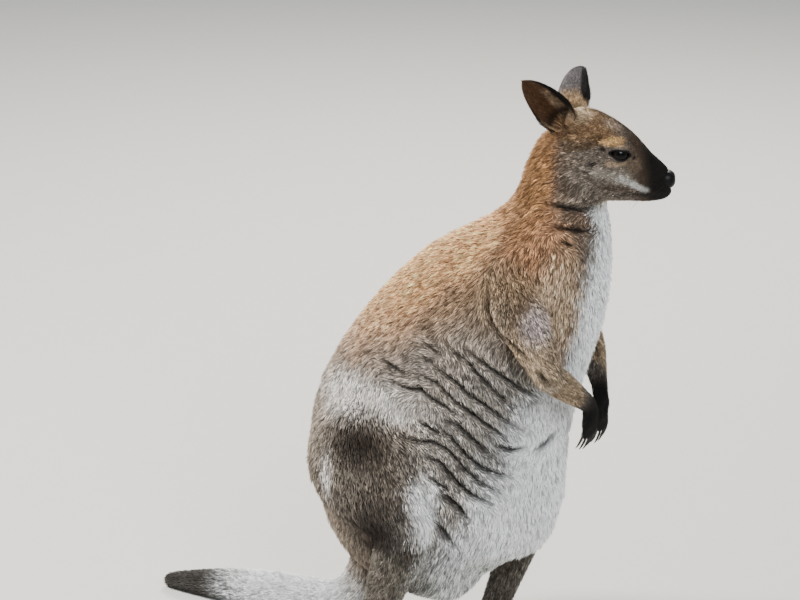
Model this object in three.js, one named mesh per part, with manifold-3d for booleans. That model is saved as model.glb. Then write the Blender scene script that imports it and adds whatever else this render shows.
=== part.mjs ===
// A red-necked (Bennett's) wallaby, sitting up on its hind feet with its tail along the ground.
// Millimetres. +X is the way the animal faces, +Y its left side, +Z up, the floor at z = 0.
import * as THREE from "three";
import { ParametricGeometry } from "three/addons/geometries/ParametricGeometry.js";
import { mergeVertices } from "three/addons/utils/BufferGeometryUtils.js";
import Module from "manifold-3d";

const wasm = await Module();
wasm.setup();

// ---------- driving dimensions ----------
const GAP = 0.3; // thin cut between neighbouring lengths of the body
const HEAD_TURN = 24; // degrees the head looks to its left
const HEAD_AT = [297, 20, 689]; // point on the head's midline level with the eyes
// Places on the head are f forward, s to its left and t up from HEAD_AT.
const EYE_RADIUS = 11.6;
const EYE_AT = { f: 1, s: 23, t: -0.5 };
const NOSE_AT = [60.5, 0, -41.5];
const NOSE_RADII = [9, 9.8, 10.5];
const MOUTH = { at: [27, 0, -52], drop: 0.17, corner: -6 }; // slope of the lips and where they end
const EAR = {
  right: { root: [-57, -22, 27], tip: [-115, -54, 94], opening: [0.05, -1, 0.1], blunt: 0.8 },
  left: { root: [-51, 22, 32], tip: [-45.5, 69, 83], opening: [0.45, 0.8, -0.1], blunt: 0.5 },
};
const EAR_WIDTH = 47;
const EAR_SHEET = 2.2; // thickness of the ear's leaf
const EAR_BOW = 5; // how far the leaf curls back between root and tip
const FOOT_LENGTH = 178; // heel to the end of the fourth toe, without its claw
const STANCE = { right: [6, -82], left: [105, 84] }; // ankle x, y of each hind leg
const ANKLE_HEIGHT = 34;
const KNEE = { right: [86, -108, 222], left: [157, 108, 212] };
const HIP = { right: [-14, -66, 298], left: [10, 68, 296] };
const TAIL_RADIUS = 31; // at its root, down to TAIL_TIP_RADIUS
const TAIL_TIP_RADIUS = 8;
const TAIL_CUTS = [-150, -280]; // x where the tail is parted
const HAND_CLAW = 15;
const TOE_CLAW = 27;

// Half-breadths and the midline of back and belly, from between the legs up to the nape.
const TRUNK = [
  { back: [-20, 96], belly: [92, 72], half: 44 },
  { back: [-69, 146], belly: [154, 98], half: 76 },
  { back: [-94, 214], belly: [208, 160], half: 98 },
  { back: [-105, 282], belly: [234, 232], half: 107 },
  { back: [-93, 348], belly: [238, 297], half: 106 },
  { back: [-62, 409], belly: [250, 360], half: 101 },
  { back: [-20, 467], belly: [268, 418], half: 94 },
  { back: [24, 516], belly: [287, 475], half: 85 },
  { back: [68, 553], belly: [295, 525], half: 73 },
  { back: [112, 578], belly: [296, 563], half: 62 },
  { back: [151, 602], belly: [294, 592], half: 53 },
  { back: [177, 632], belly: [287, 621], half: 46 },
  { back: [188, 666], belly: [274, 656], half: 41 },
  { back: [206, 700], belly: [264, 684], half: 34 },
  { back: [226, 716], belly: [262, 702], half: 26 },
];
const CHEST_CUT = { at: [124, 0, 409], lean: 30 }; // plane between belly and chest
const NECK_CUT = { at: [210, 0, 583], lean: 22 }; // plane between chest and neck

// The head along f: top and bottom of the midline, half-breadth and the height of the broadest part.
const HEAD = [
  { f: -74, top: 34, bottom: -26, half: 26 },
  { f: -60, top: 46, bottom: -48, half: 33 },
  { f: -44, top: 50, bottom: -60, half: 36.5 },
  { f: -26, top: 46.5, bottom: -63.5, half: 37.5 },
  { f: -10, top: 38.5, bottom: -64, half: 35.5 },
  { f: 3, top: 30.5, bottom: -64.5, half: 31 },
  { f: 14, top: 22, bottom: -64.5, half: 26.5 },
  { f: 26, top: 10.5, bottom: -64.8, half: 22 },
  { f: 38, top: -4, bottom: -64.8, half: 19 },
  { f: 50, top: -14.5, bottom: -63, half: 16 },
  { f: 59, top: -24.5, bottom: -60, half: 13 },
  { f: 66.5, top: -38, bottom: -55, half: 9 },
];

// ---------- helpers ----------
const V = (x, y, z) => new THREE.Vector3(x, y, z);
const deg = THREE.MathUtils.degToRad;
const power = (c, k) => Math.sign(c) * Math.abs(c) ** k;

// A closed three.js geometry as a solid.
function solid(geometry) {
  const bare = new THREE.BufferGeometry();
  bare.setAttribute("position", geometry.getAttribute("position"));
  if (geometry.index) bare.setIndex(geometry.index);
  const merged = mergeVertices(bare, 1e-3);
  const old = merged.index.array;
  const faces = [];
  for (let i = 0; i < old.length; i += 3) {
    const [a, b, c] = [old[i], old[i + 1], old[i + 2]];
    if (a !== b && b !== c && a !== c) faces.push(a, b, c);
  }
  const make = (list) =>
    new wasm.Manifold(
      new wasm.Mesh({
        numProp: 3,
        vertProperties: new Float32Array(merged.getAttribute("position").array),
        triVerts: new Uint32Array(list),
      }),
    );
  const made = make(faces);
  if (made.volume() > 0) return made;
  const turned = [];
  for (let i = 0; i < faces.length; i += 3) turned.push(faces[i], faces[i + 2], faces[i + 1]);
  return make(turned);
}

// Catmull-Rom curve through one named value of each row, held in up to three channels.
const track = (rows, pick) =>
  new THREE.CatmullRomCurve3(
    rows.map((r) => V(...pick(r))),
    false,
    "catmullrom",
    0.5,
  );

// Rounds a body off towards its ends: share e of its length at the start, g at the finish.
function taper(v, e, g) {
  const a = e > 0 && v < e ? 1 - v / e : 0;
  const b = g > 0 && v > 1 - g ? 1 - (1 - v) / g : 0;
  return Math.sqrt(Math.max(0, 1 - a * a)) * Math.sqrt(Math.max(0, 1 - b * b));
}
const crowd = (v, k) => v * (1 - k) + (k * (1 - Math.cos(Math.PI * v))) / 2;

// A body of egg-shaped sections strung along a path; each row gives a point and its radii.
function limb(rows, { front = V(1, 0, 0), slices = 16, stacks = 12, ends = [0.12, 0.12], grow = 0, k = 1 }) {
  const path = track(rows, (r) => r.at);
  const sizes = track(rows, (r) => [r.side, r.front ?? r.side, r.rear ?? r.front ?? r.side]);
  const geometry = new ParametricGeometry(
    (u, v0, target) => {
      const v = crowd(v0, 0.55);
      const at = path.getPoint(v);
      const along = path.getTangent(v);
      const f = front.clone().addScaledVector(along, -front.dot(along)).normalize();
      const s = along.clone().cross(f);
      const r = sizes.getPoint(v);
      const round = taper(v, ends[0], ends[1]);
      const a = (u % 1) * 2 * Math.PI;
      const [c, n] = [power(Math.cos(a), k), power(Math.sin(a), k)];
      const pole = v0 === 0 || v0 === 1;
      const fore = (n > 0 ? r.y : r.z) + grow;
      target.copy(at);
      target.addScaledVector(along, v0 === 0 ? -grow : v0 === 1 ? grow : 0);
      if (!pole) target.addScaledVector(s, c * (r.x + grow) * round).addScaledVector(f, n * fore * round);
    },
    slices,
    stacks,
  );
  return solid(geometry);
}

// A body given by the midline of its back and of its belly.
function hull(rows, { slices, stacks, ends, mid = 0.5, grow = 0 }) {
  const backs = track(rows, (r) => [r.back[0], 0, r.back[1]]);
  const bellies = track(rows, (r) => [r.belly[0], 0, r.belly[1]]);
  const halves = track(rows, (r) => [r.half, r.sway ?? 0, 0]);
  return solid(
    new ParametricGeometry(
      (u, v0, target) => {
        const v = crowd(v0, 0.5);
        const back = backs.getPoint(v);
        const belly = bellies.getPoint(v);
        const h = halves.getPoint(v);
        const centre = back.clone().lerp(belly, mid);
        const across = belly.clone().sub(back);
        const depth = across.length();
        across.normalize();
        const round = taper(v, ends[0], ends[1]);
        const a = (u % 1) * 2 * Math.PI;
        const n = Math.sin(a);
        const reach = (n > 0 ? depth * (1 - mid) : depth * mid) + grow;
        target.copy(centre).add(V(0, h.y, 0));
        if (v0 === 0) target.z -= grow;
        else if (v0 === 1) target.z += grow;
        else target.addScaledVector(across, n * reach * round).add(V(0, Math.cos(a) * (h.x + grow) * round, 0));
      },
      slices,
      stacks,
    ),
  );
}

// Half of all space: the side a plane's normal points away from, stopping GAP / 2 short of it.
function below(at, normal, margin = GAP / 2) {
  const size = 2000;
  const box = new THREE.BoxGeometry(size, size, size);
  const n = normal.clone().normalize();
  box.applyQuaternion(new THREE.Quaternion().setFromUnitVectors(V(0, 0, 1), n));
  const move = n.clone().multiplyScalar(-size / 2 - margin);
  box.translate(at.x + move.x, at.y + move.y, at.z + move.z);
  return solid(box);
}
const above = (at, normal, margin = GAP / 2) => below(at, normal.clone().negate(), margin);
const lean = (degrees) => V(Math.sin(deg(degrees)), 0, Math.cos(deg(degrees)));

const largest = (s) => s.decompose().sort((a, b) => b.volume() - a.volume())[0];
const minus = (s, ...others) => others.reduce((left, o) => left.subtract(o), s);
const joined = (...solids) => solids.reduce((all, s) => all.add(s));

const COLOURS = {
  coat: [0x7d6a58, 0.95],
  rufous: [0x96714f, 0.95],
  dark: [0x2a2523, 0.85],
  tail: [0x8a847c, 0.95],
  eye: [0x0d0a09, 0.15],
  nose: [0x161414, 0.4],
  claw: [0x1d1a18, 0.5],
};
const group = new THREE.Group();
group.name = "red_necked_wallaby";
function add(name, body, look) {
  const mesh = largest(body).getMesh();
  const geometry = new THREE.BufferGeometry();
  geometry.setAttribute("position", new THREE.BufferAttribute(new Float32Array(mesh.vertProperties), 3));
  geometry.setIndex(new THREE.BufferAttribute(new Uint32Array(mesh.triVerts), 1));
  geometry.computeVertexNormals();
  const [color, roughness] = COLOURS[look];
  const part = new THREE.Mesh(
    geometry,
    new THREE.MeshStandardMaterial({ color, roughness, metalness: 0 }),
  );
  part.name = name;
  group.add(part);
}

// ---------- trunk, chest and neck: one form parted by thin cuts ----------
const trunkShape = { slices: 24, stacks: 26, ends: [0.1, 0.05], mid: 0.52 };
const body = hull(TRUNK, trunkShape);
const bodyGrown = hull(TRUNK, { ...trunkShape, grow: GAP });
const chestAt = V(...CHEST_CUT.at);
const neckAt = V(...NECK_CUT.at);

// ---------- head ----------
const headFrame = new THREE.Matrix4()
  .makeTranslation(...HEAD_AT)
  .multiply(new THREE.Matrix4().makeRotationZ(deg(HEAD_TURN)));
const headPoint = (f, s, t) => V(f, s, t).applyMatrix4(headFrame);
const turned = (f, s, t) => V(f, s, t).transformDirection(headFrame);

function headForm(grow) {
  const tops = track(HEAD, (r) => [r.f, 0, r.top]);
  const lows = track(HEAD, (r) => [r.f, 0, r.bottom]);
  const halves = track(HEAD, (r) => [r.half, 0, 0]);
  const geometry = new ParametricGeometry(
    (u, v0, target) => {
      const v = crowd(v0, 0.55);
      const [top, low, half] = [tops.getPoint(v), lows.getPoint(v), halves.getPoint(v).x];
      const round = taper(v, 0.1, 0.1);
      const a = (u % 1) * 2 * Math.PI;
      const n = Math.sin(a);
      const middle = V(top.x, 0, THREE.MathUtils.lerp(low.z, top.z, 0.5));
      const rise = (top.z - low.z) * 0.5 + grow;
      // cheeks full, jaw and crown drawn in
      const pinch = 1 - 0.16 * Math.max(0, -n) ** 2 - 0.06 * Math.max(0, n) ** 2;
      target.copy(middle);
      if (v0 === 0) target.x -= grow;
      else if (v0 === 1) target.x += grow;
      else {
        target.y += power(Math.cos(a), 0.92) * (half + grow) * round * pinch;
        target.z += n * rise * round;
      }
      target.applyMatrix4(headFrame);
    },
    22,
    19,
  );
  return solid(geometry);
}
const headSolid = headForm(0);
const headGrown = headForm(GAP);

function ball(centre, radii, turn = 0, segments = 12) {
  const sphere = new THREE.SphereGeometry(1, segments, Math.round(segments * 0.7));
  sphere.scale(...radii);
  sphere.rotateZ(deg(turn));
  sphere.translate(centre.x, centre.y, centre.z);
  return solid(sphere);
}
const eyes = {};
const sockets = {};
for (const [side, sign] of [["left", 1], ["right", -1]]) {
  const at = headPoint(EYE_AT.f, sign * EYE_AT.s, EYE_AT.t);
  eyes[side] = ball(at, [EYE_RADIUS, EYE_RADIUS, EYE_RADIUS]);
  sockets[side] = ball(at, [EYE_RADIUS + GAP, EYE_RADIUS + GAP, EYE_RADIUS + GAP]);
}
const noseAt = headPoint(...NOSE_AT);
const nose = ball(noseAt, NOSE_RADII, HEAD_TURN);
const noseGrown = ball(noseAt, NOSE_RADII.map((r) => r + GAP), HEAD_TURN);

// The mouth: a thin sloping cut from the lips back to below the cheek.
const mouthAt = headPoint(...MOUTH.at);
const mouthNormal = turned(MOUTH.drop, 0, 1);
const cheekAt = headPoint(MOUTH.corner, 0, MOUTH.at[2]);
const cheekNormal = turned(-1, 0, 0);
const jawRoom = below(mouthAt, mouthNormal, 0).intersect(below(cheekAt, cheekNormal, 0));
const jawSlot = below(mouthAt, mouthNormal, GAP / 2).intersect(below(cheekAt, cheekNormal, GAP / 2));
const skull = minus(headSolid, jawRoom, sockets.left, sockets.right, noseGrown);
const jaw = minus(headSolid.intersect(jawSlot), noseGrown);

// ---------- ears: cupped leaves with a thick root ----------
function ear(root, tip, opening, blunt) {
  const axis = tip.clone().sub(root);
  const reach = axis.length();
  const up = axis.clone().normalize();
  const open = opening.clone().addScaledVector(up, -opening.dot(up)).normalize();
  const side = open.clone().cross(up);
  const geometry = new ParametricGeometry(
    (u, v, target) => {
      // narrow at the root, broadest a third of the way up, drawn to a point
      const w = (EAR_WIDTH / 2) * (0.6 + 0.4 * Math.min(1, v * 3)) * Math.max(0, 1 - v ** 2.6) ** blunt;
      const wrap = deg(THREE.MathUtils.lerp(125, 62, Math.min(1, v * 1.5)));
      const t = (u % 1) * 2;
      const inside = t >= 1;
      const a = inside ? wrap * (1 - 2 * (t - 1)) : wrap * (2 * t - 1);
      const spread = w / Math.max(Math.sin(Math.min(wrap, Math.PI / 2)), 0.4);
      const r = Math.max(spread - (inside ? EAR_SHEET : 0), inside ? 0.6 : EAR_SHEET * 0.6);
      const along = reach * v;
      const bow = EAR_BOW * Math.sin(Math.PI * v);
      target.copy(root).addScaledVector(up, along);
      if (v === 0 || v === 1) {
        target.addScaledVector(open, v === 0 ? 0 : -2);
        return;
      }
      const centre = spread * Math.cos(wrap) * 0.5;
      target
        .addScaledVector(side, Math.sin(a) * r)
        .addScaledVector(open, -Math.cos(a) * r + centre - bow);
    },
    16,
    10,
  );
  return solid(geometry);
}
const ears = {};
for (const side of ["left", "right"]) {
  const { root, tip, opening, blunt } = EAR[side];
  ears[side] = ear(headPoint(...root), headPoint(...tip), turned(...opening), blunt);
}

// ---------- tail ----------
const TAIL = [
  { at: [-4, 0, 176], side: TAIL_RADIUS + 5 },
  { at: [-18, 2, 122], side: TAIL_RADIUS + 3 },
  { at: [-44, 10, 72], side: TAIL_RADIUS },
  { at: [-84, 24, 38.5], side: TAIL_RADIUS - 1 },
  { at: [-134, 36, 27.5], side: TAIL_RADIUS - 2 },
  { at: [-188, 42, 25.5], side: TAIL_RADIUS - 3.5 },
  { at: [-244, 46, 22], side: TAIL_RADIUS - 7 },
  { at: [-296, 48, 17], side: TAIL_RADIUS - 12 },
  { at: [-342, 50, 11.5], side: TAIL_TIP_RADIUS + 5 },
  { at: [-364, 51, 8.5], side: TAIL_TIP_RADIUS + 1 },
];
const floorAt = V(0, 0, 0);
const upward = V(0, 0, 1);
const grounded = (s) => s.intersect(above(floorAt, upward, 0));
const tailShape = { front: V(0, 0, 1), slices: 14, stacks: 24, ends: [0.08, 0.04] };
const tail = grounded(minus(limb(TAIL, tailShape), bodyGrown));

// ---------- hind legs ----------
const legs = {};
for (const [side, sign] of [["left", 1], ["right", -1]]) {
  const [ax, ay] = STANCE[side];
  const hip = V(...HIP[side]);
  const knee = V(...KNEE[side]);
  const ankle = V(ax, ay, ANKLE_HEIGHT);
  const on = (a, b, t, out = 0, fore = 0) => {
    const p = a.clone().lerp(b, t);
    return [p.x + fore, p.y + sign * out, p.z];
  };
  const thighRows = [
    { at: on(hip, knee, -0.5), side: 30, front: 60, rear: 58 },
    { at: on(hip, knee, -0.1, 6), side: 44, front: 82, rear: 78 },
    { at: on(hip, knee, 0.3, 8), side: 47, front: 80, rear: 84 },
    { at: on(hip, knee, 0.65, 4), side: 41, front: 58, rear: 70 },
    { at: on(hip, knee, 0.95, 0), side: 33, front: 38, rear: 46 },
    { at: on(hip, knee, 1.22, 0), side: 20, front: 24, rear: 26 },
  ];
  const shankRows = [
    { at: on(knee, ankle, -0.12), side: 24, front: 30, rear: 32 },
    { at: on(knee, ankle, 0.2), side: 28, front: 33, rear: 36 },
    { at: on(knee, ankle, 0.5), side: 24, front: 26, rear: 26 },
    { at: on(knee, ankle, 0.8), side: 18.5, front: 20, rear: 20 },
    { at: on(knee, ankle, 1.02), side: 17, front: 17, rear: 20 },
    { at: on(knee, ankle, 1.14), side: 13, front: 13, rear: 15 },
  ];
  const forward = V(1, 0, 0.9);
  const thighShape = { front: V(0.6, 0, 0.9), slices: 18, stacks: 13, ends: [0.25, 0.2], k: 0.94 };
  const shankShape = { front: forward, slices: 14, stacks: 11, ends: [0.12, 0.12] };
  const thigh = limb(thighRows, thighShape);
  const thighGrown = limb(thighRows, { ...thighShape, grow: GAP });
  const shank = limb(shankRows, shankShape);
  const shankGrown = limb(shankRows, { ...shankShape, grow: GAP });

  // The foot: a long narrow sole ending in the great fourth toe, the fifth beside it on the
  // outside, and the small joined second and third toes on the inside.
  const heel = V(ax - 20, ay, 0);
  const sole = (f, out, z) => [heel.x + f, heel.y + sign * out, z];
  const L = FOOT_LENGTH;
  const soleShape = { front: V(0, 0, 1), slices: 11, stacks: 11, ends: [0.1, 0.1] };
  const footRows = [
    { at: sole(0, 0, 17), side: 14, front: 16, rear: 19 },
    { at: sole(22, 0, 19), side: 18, front: 22, rear: 21 },
    { at: sole(60, 0, 15), side: 17, front: 18, rear: 17 },
    { at: sole(105, 0, 12), side: 18, front: 15, rear: 14 },
    { at: sole(138, 0, 10), side: 14, front: 12, rear: 12 },
    { at: sole(L - 12, 0, 9), side: 11, front: 10.5, rear: 11 },
    { at: sole(L, 0, 9), side: 9, front: 9, rear: 10 },
  ];
  const fifthRows = [
    { at: sole(84, 8, 11), side: 9, front: 9, rear: 12 },
    { at: sole(118, 17, 8.5), side: 8.5, front: 8.5, rear: 10 },
    { at: sole(146, 21, 7), side: 7, front: 7, rear: 8 },
  ];
  const joinedRows = [
    { at: sole(80, -9, 11), side: 7, front: 8, rear: 12 },
    { at: sole(112, -16, 8), side: 6.5, front: 7.5, rear: 9 },
    { at: sole(136, -18, 6.5), side: 6, front: 6, rear: 7 },
  ];
  const toeShape = { front: V(0, 0, 1), slices: 7, stacks: 5, ends: [0.2, 0.2] };
  const footAll = (grow) =>
    joined(
      limb(footRows, { ...soleShape, grow }),
      limb(fifthRows, { ...toeShape, grow }),
      limb(joinedRows, { ...toeShape, grow }),
    );
  const foot = grounded(minus(footAll(0), shankGrown));
  const footGrown = footAll(GAP);

  const claw = (x, out, z, length, thick) =>
    minus(
      limb(
        [
          { at: sole(x - 5, out, z), side: thick, front: thick * 1.1, rear: thick },
          { at: sole(x + length * 0.35, out, z + 1), side: thick * 0.9, front: thick, rear: thick * 0.9 },
          { at: sole(x + length * 0.75, out, z - 1.5), side: thick * 0.6, front: thick * 0.65, rear: thick * 0.6 },
          { at: sole(x + length, out, z - 5), side: thick * 0.2, front: thick * 0.25, rear: thick * 0.25 },
        ],
        { front: V(0, 0, 1), slices: 6, stacks: 4, ends: [0.1, 0.1] },
      ),
      footGrown,
    );
  legs[side] = {
    thigh: minus(thigh, bodyGrown),
    shank: minus(shank, thighGrown, bodyGrown),
    foot,
    claws: [
      claw(L - 2, 0, 9.5, TOE_CLAW, 5),
      claw(144, 21, 8, TOE_CLAW * 0.62, 3.6),
      claw(134, -16.2, 7.5, TOE_CLAW * 0.42, 2.2),
      claw(134, -21, 7, TOE_CLAW * 0.42, 2.2),
    ],
  };
}

// ---------- arms ----------
const ARM = {
  right: { shoulder: [200, -62, 517], elbow: [266, -104, 434], wrist: [289, -32, 379], drop: [-2, 3, -27] },
  left: { shoulder: [186, 62, 509], elbow: [228, 98, 424], wrist: [275, 30, 371], drop: [2, -4, -27] },
};
const arms = {};
for (const [side, sign] of [["left", 1], ["right", -1]]) {
  const { shoulder, elbow, wrist, drop } = ARM[side];
  const [sh, el, wr] = [V(...shoulder), V(...elbow), V(...wrist)];
  const on = (a, b, t) => a.clone().lerp(b, t).toArray();
  const upperRows = [
    { at: on(sh, el, -0.3), side: 22, front: 30, rear: 34 },
    { at: on(sh, el, 0.15), side: 27, front: 33, rear: 38 },
    { at: on(sh, el, 0.6), side: 23, front: 24, rear: 29 },
    { at: on(sh, el, 1.0), side: 18, front: 18, rear: 20 },
    { at: on(sh, el, 1.18), side: 12, front: 12, rear: 13 },
  ];
  const foreRows = [
    { at: on(el, wr, -0.14), side: 13, front: 13, rear: 13 },
    { at: on(el, wr, 0.12), side: 19, front: 18, rear: 18 },
    { at: on(el, wr, 0.45), side: 17, front: 16, rear: 16 },
    { at: on(el, wr, 0.8), side: 13, front: 12, rear: 12 },
    { at: on(el, wr, 1.04), side: 11, front: 10.5, rear: 10.5 },
  ];
  const armShape = { front: V(1, 0, 0.2), slices: 12, stacks: 9, ends: [0.18, 0.14] };
  const upperArm = limb(upperRows, armShape);
  const upperGrown = limb(upperRows, { ...armShape, grow: GAP });
  const forearm = limb(foreRows, armShape);
  const foreGrown = limb(foreRows, { ...armShape, grow: GAP });
  // The hand hangs from the wrist: a short palm and five fingers side by side.
  const down = V(...drop);
  const knuckle = wr.clone().add(down);
  const palmRows = [
    { at: on(wr, knuckle, -0.3), side: 9, front: 8 },
    { at: on(wr, knuckle, 0.3), side: 13, front: 9 },
    { at: on(wr, knuckle, 0.8), side: 15, front: 8.5 },
    { at: on(wr, knuckle, 1.15), side: 13, front: 6 },
  ];
  const reach = down.clone().normalize();
  const across = V(0.25, 1, 0).addScaledVector(reach, -V(0.25, 1, 0).dot(reach)).normalize();
  const outward = across.clone().cross(reach).normalize();
  const palmShape = { front: outward, slices: 10, stacks: 6, ends: [0.2, 0.2] };
  const fingerLengths = [14, 18, 20, 18, 13];
  const fingerPoint = (i, along, curl = 0) =>
    knuckle
      .clone()
      .addScaledVector(across, (i - 2) * 6.1 * (1 + along * 0.006))
      .addScaledVector(reach, along)
      .addScaledVector(V(-1, 0, 0), curl);
  const fingers = (grow) =>
    fingerLengths.map((n, i) =>
      limb(
        [
          { at: fingerPoint(i, -8).toArray(), side: 3.9 },
          { at: fingerPoint(i, n * 0.5, 0.5).toArray(), side: 3.5 },
          { at: fingerPoint(i, n, 3).toArray(), side: 3 },
        ],
        { front: V(1, 0, 0), slices: 5, stacks: 4, ends: [0.2, 0.2], grow },
      ),
    );
  const handAll = (grow) => joined(limb(palmRows, { ...palmShape, grow }), ...fingers(grow));
  const hand = minus(handAll(0), foreGrown);
  const handGrown = handAll(GAP);
  const claws = fingerLengths.map((n, i) =>
    minus(
      limb(
        [
          { at: fingerPoint(i, n - 4, 2.4).toArray(), side: 2 },
          { at: fingerPoint(i, n + HAND_CLAW * 0.35, 3).toArray(), side: 1.9, front: 2.3 },
          { at: fingerPoint(i, n + HAND_CLAW * 0.75, 6.5).toArray(), side: 1.2, front: 1.4 },
          { at: fingerPoint(i, n + HAND_CLAW * 0.95, 10.5).toArray(), side: 0.5 },
        ],
        { front: V(1, 0, 0), slices: 4, stacks: 3, ends: [0.1, 0.1] },
      ),
      handGrown,
    ),
  );
  arms[side] = {
    upperArm: minus(upperArm, bodyGrown),
    forearm: minus(forearm, upperGrown, bodyGrown),
    hand: minus(hand, bodyGrown),
    claws,
  };
}

// ---------- the animal ----------
add("trunk", body.intersect(below(chestAt, lean(CHEST_CUT.lean))), "coat");
add(
  "chest",
  body
    .intersect(above(chestAt, lean(CHEST_CUT.lean)))
    .intersect(below(neckAt, lean(NECK_CUT.lean))),
  "rufous",
);
add("neck", minus(body.intersect(above(neckAt, lean(NECK_CUT.lean))), headGrown), "rufous");
add("head", skull, "coat");
add("jaw", jaw, "dark");
add("nose", nose, "nose");
add("ear_left", minus(ears.left, headGrown), "dark");
add("ear_right", minus(ears.right, headGrown), "dark");
add("eye_left", eyes.left, "eye");
add("eye_right", eyes.right, "eye");

const tailCuts = TAIL_CUTS.map((x) => V(x, 0, 0));
const backward = V(-1, 0, 0);
add("tail_base", tail.intersect(below(tailCuts[0], backward)), "coat");
add(
  "tail_middle",
  tail.intersect(above(tailCuts[0], backward)).intersect(below(tailCuts[1], backward)),
  "tail",
);
add("tail_end", tail.intersect(above(tailCuts[1], backward)), "tail");

const fingerNames = ["first", "second", "third", "fourth", "fifth"];
const toeNames = ["fourth", "fifth", "third", "second"];
for (const side of ["left", "right"]) {
  add(`thigh_${side}`, legs[side].thigh, "coat");
  add(`shank_${side}`, legs[side].shank, "coat");
  add(`foot_${side}`, legs[side].foot, "dark");
  toeNames.forEach((n, i) => add(`toe_claw_${n}_${side}`, grounded(legs[side].claws[i]), "claw"));
  add(`upper_arm_${side}`, arms[side].upperArm, "coat");
  add(`forearm_${side}`, arms[side].forearm, "coat");
  add(`hand_${side}`, arms[side].hand, "dark");
  fingerNames.forEach((n, i) => add(`finger_claw_${n}_${side}`, arms[side].claws[i], "claw"));
}

// The frame: middle of the bounding box in plan, at floor level.
const bounds = new THREE.Box3().setFromObject(group);
const middle = bounds.getCenter(V(0, 0, 0));
for (const part of group.children) part.geometry.translate(-middle.x, -middle.y, -bounds.min.z);

export default group;
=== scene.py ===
"""A red-necked wallaby sitting up: one skin, its coat of tufts, eyes, nose and claws, in a plain studio.

Everything is shaped in millimetres in the animal's own frame (+X forward, +Y its left, +Z up, z = 0 the
floor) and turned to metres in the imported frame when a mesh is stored.
"""
import math

import bpy
import numpy as np
from mathutils import Matrix, Vector
from mathutils.bvhtree import BVHTree
from mathutils.kdtree import KDTree


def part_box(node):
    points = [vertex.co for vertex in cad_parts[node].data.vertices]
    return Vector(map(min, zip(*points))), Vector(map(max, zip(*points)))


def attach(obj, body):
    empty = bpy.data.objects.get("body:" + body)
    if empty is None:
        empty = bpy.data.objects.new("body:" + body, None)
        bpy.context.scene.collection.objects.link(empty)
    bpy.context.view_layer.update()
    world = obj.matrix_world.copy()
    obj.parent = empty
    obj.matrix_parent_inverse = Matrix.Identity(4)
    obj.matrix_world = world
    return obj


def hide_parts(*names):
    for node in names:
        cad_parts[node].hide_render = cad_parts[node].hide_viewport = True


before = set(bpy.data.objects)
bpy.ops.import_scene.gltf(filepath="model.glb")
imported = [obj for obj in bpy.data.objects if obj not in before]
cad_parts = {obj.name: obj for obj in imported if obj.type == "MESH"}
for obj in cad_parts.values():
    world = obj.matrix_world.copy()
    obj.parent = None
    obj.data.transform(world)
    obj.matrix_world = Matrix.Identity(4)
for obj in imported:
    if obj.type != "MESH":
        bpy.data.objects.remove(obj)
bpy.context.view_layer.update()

bl_info = {
    "name": "Sitting Wallaby",
    "version": (1, 0, 0),
    "blender": (4, 5, 0),
    "location": "View3D > Sidebar > Wallaby",
    "description": "Skins and furs a life-size red-necked wallaby over its packed solids",
    "category": "Add Mesh",
}

MM = 0.001
SEED = 7
DOWN = np.array([0.0, 0.0, -1.0])

# the colours that a user would change: label, what wears it, sRGB value
COLOURS = {
    "sand": ("Sand", "Shoulders and upper back", "#b98e65"),
    "rufous": ("Rufous", "Side of the shoulder and neck", "#93694a"),
    "nape": ("Nape", "Back of the neck", "#7c5a3a"),
    "collar": ("Collar", "Grizzled brown of the side of the neck", "#57473a"),
    "back": ("Back", "Grey of the middle of the back", "#847a70"),
    "flank": ("Flank", "Sides between the folds", "#726d67"),
    "rump": ("Rump", "Rump and base of the tail", "#7a6f63"),
    "hip": ("Hip", "Pale sweep over each hip", "#d3cdc6"),
    "thigh": ("Thigh", "Grizzled outside of the thigh", "#5e564d"),
    "thigh_dark": ("Dark thigh", "Dark patches of the thigh and shank", "#261f1a"),
    "white": ("White", "Throat, chest stripe, belly and knee", "#eff0f0"),
    "belly": ("Belly", "Where flank and white belly mix", "#c3c4c5"),
    "arm": ("Arm", "Upper arm and forearm", "#7d6c57"),
    "soot": ("Soot", "Hands, toes, muzzle and rims of the ears", "#0b0908"),
    "cheek": ("Cheek", "Grizzled cheek", "#655b51"),
    "crown": ("Crown", "Sandy forehead between the ears", "#745b42"),
    "brow": ("Brow", "Ochre patch above the eye", "#c59b69"),
    "lip": ("Lip", "White stripe along the upper lip", "#dedbd4"),
    "ear_back": ("Ear back", "Outside of the ears", "#4c4848"),
    "ear_inside": ("Ear inside", "Thin brown hair inside the ears", "#4d3522"),
    "tail": ("Tail", "Silver of the tail", "#d3d6d8"),
    "tail_tip": ("Tail tip", "Dark end of the tail", "#35322f"),
    "iris": ("Iris", "Dark brown ring of the eye", "#120b08"),
    "horn": ("Horn", "Claws", "#161210"),
    "nose": ("Nose", "Moist skin of the nose pad", "#070606"),
    "floor": ("Floor", "Plain floor of the studio", "#bdbcb8"),
}

# ---------------------------------------------------------------------------------------------------------
# Where things are: the modelling frame, the head's own frame and the lines the coat follows
# ---------------------------------------------------------------------------------------------------------


def middle(*nodes):
    """Middle of the boxes of some nodes, in metres."""
    return sum((np.add(*map(np.array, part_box(n))) / 2 for n in nodes), np.zeros(3)) / len(nodes)


EYES_AT = np.array([297.91, 20.41, 688.5])  # midpoint of the eyes in the modelling frame
EYES_FORWARD, EYES_DOWN = 1.0, 0.5  # where that midpoint is from the head's own zero point
ORIGIN = middle("eye_left", "eye_right") - EYES_AT * MM
EYE = {side: (middle(f"eye_{side}") - ORIGIN) / MM for side in ("left", "right")}
EYE_RADIUS = (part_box("eye_right")[1][0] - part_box("eye_right")[0][0]) / MM / 2
SIGN = {"left": 1.0, "right": -1.0}

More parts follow.
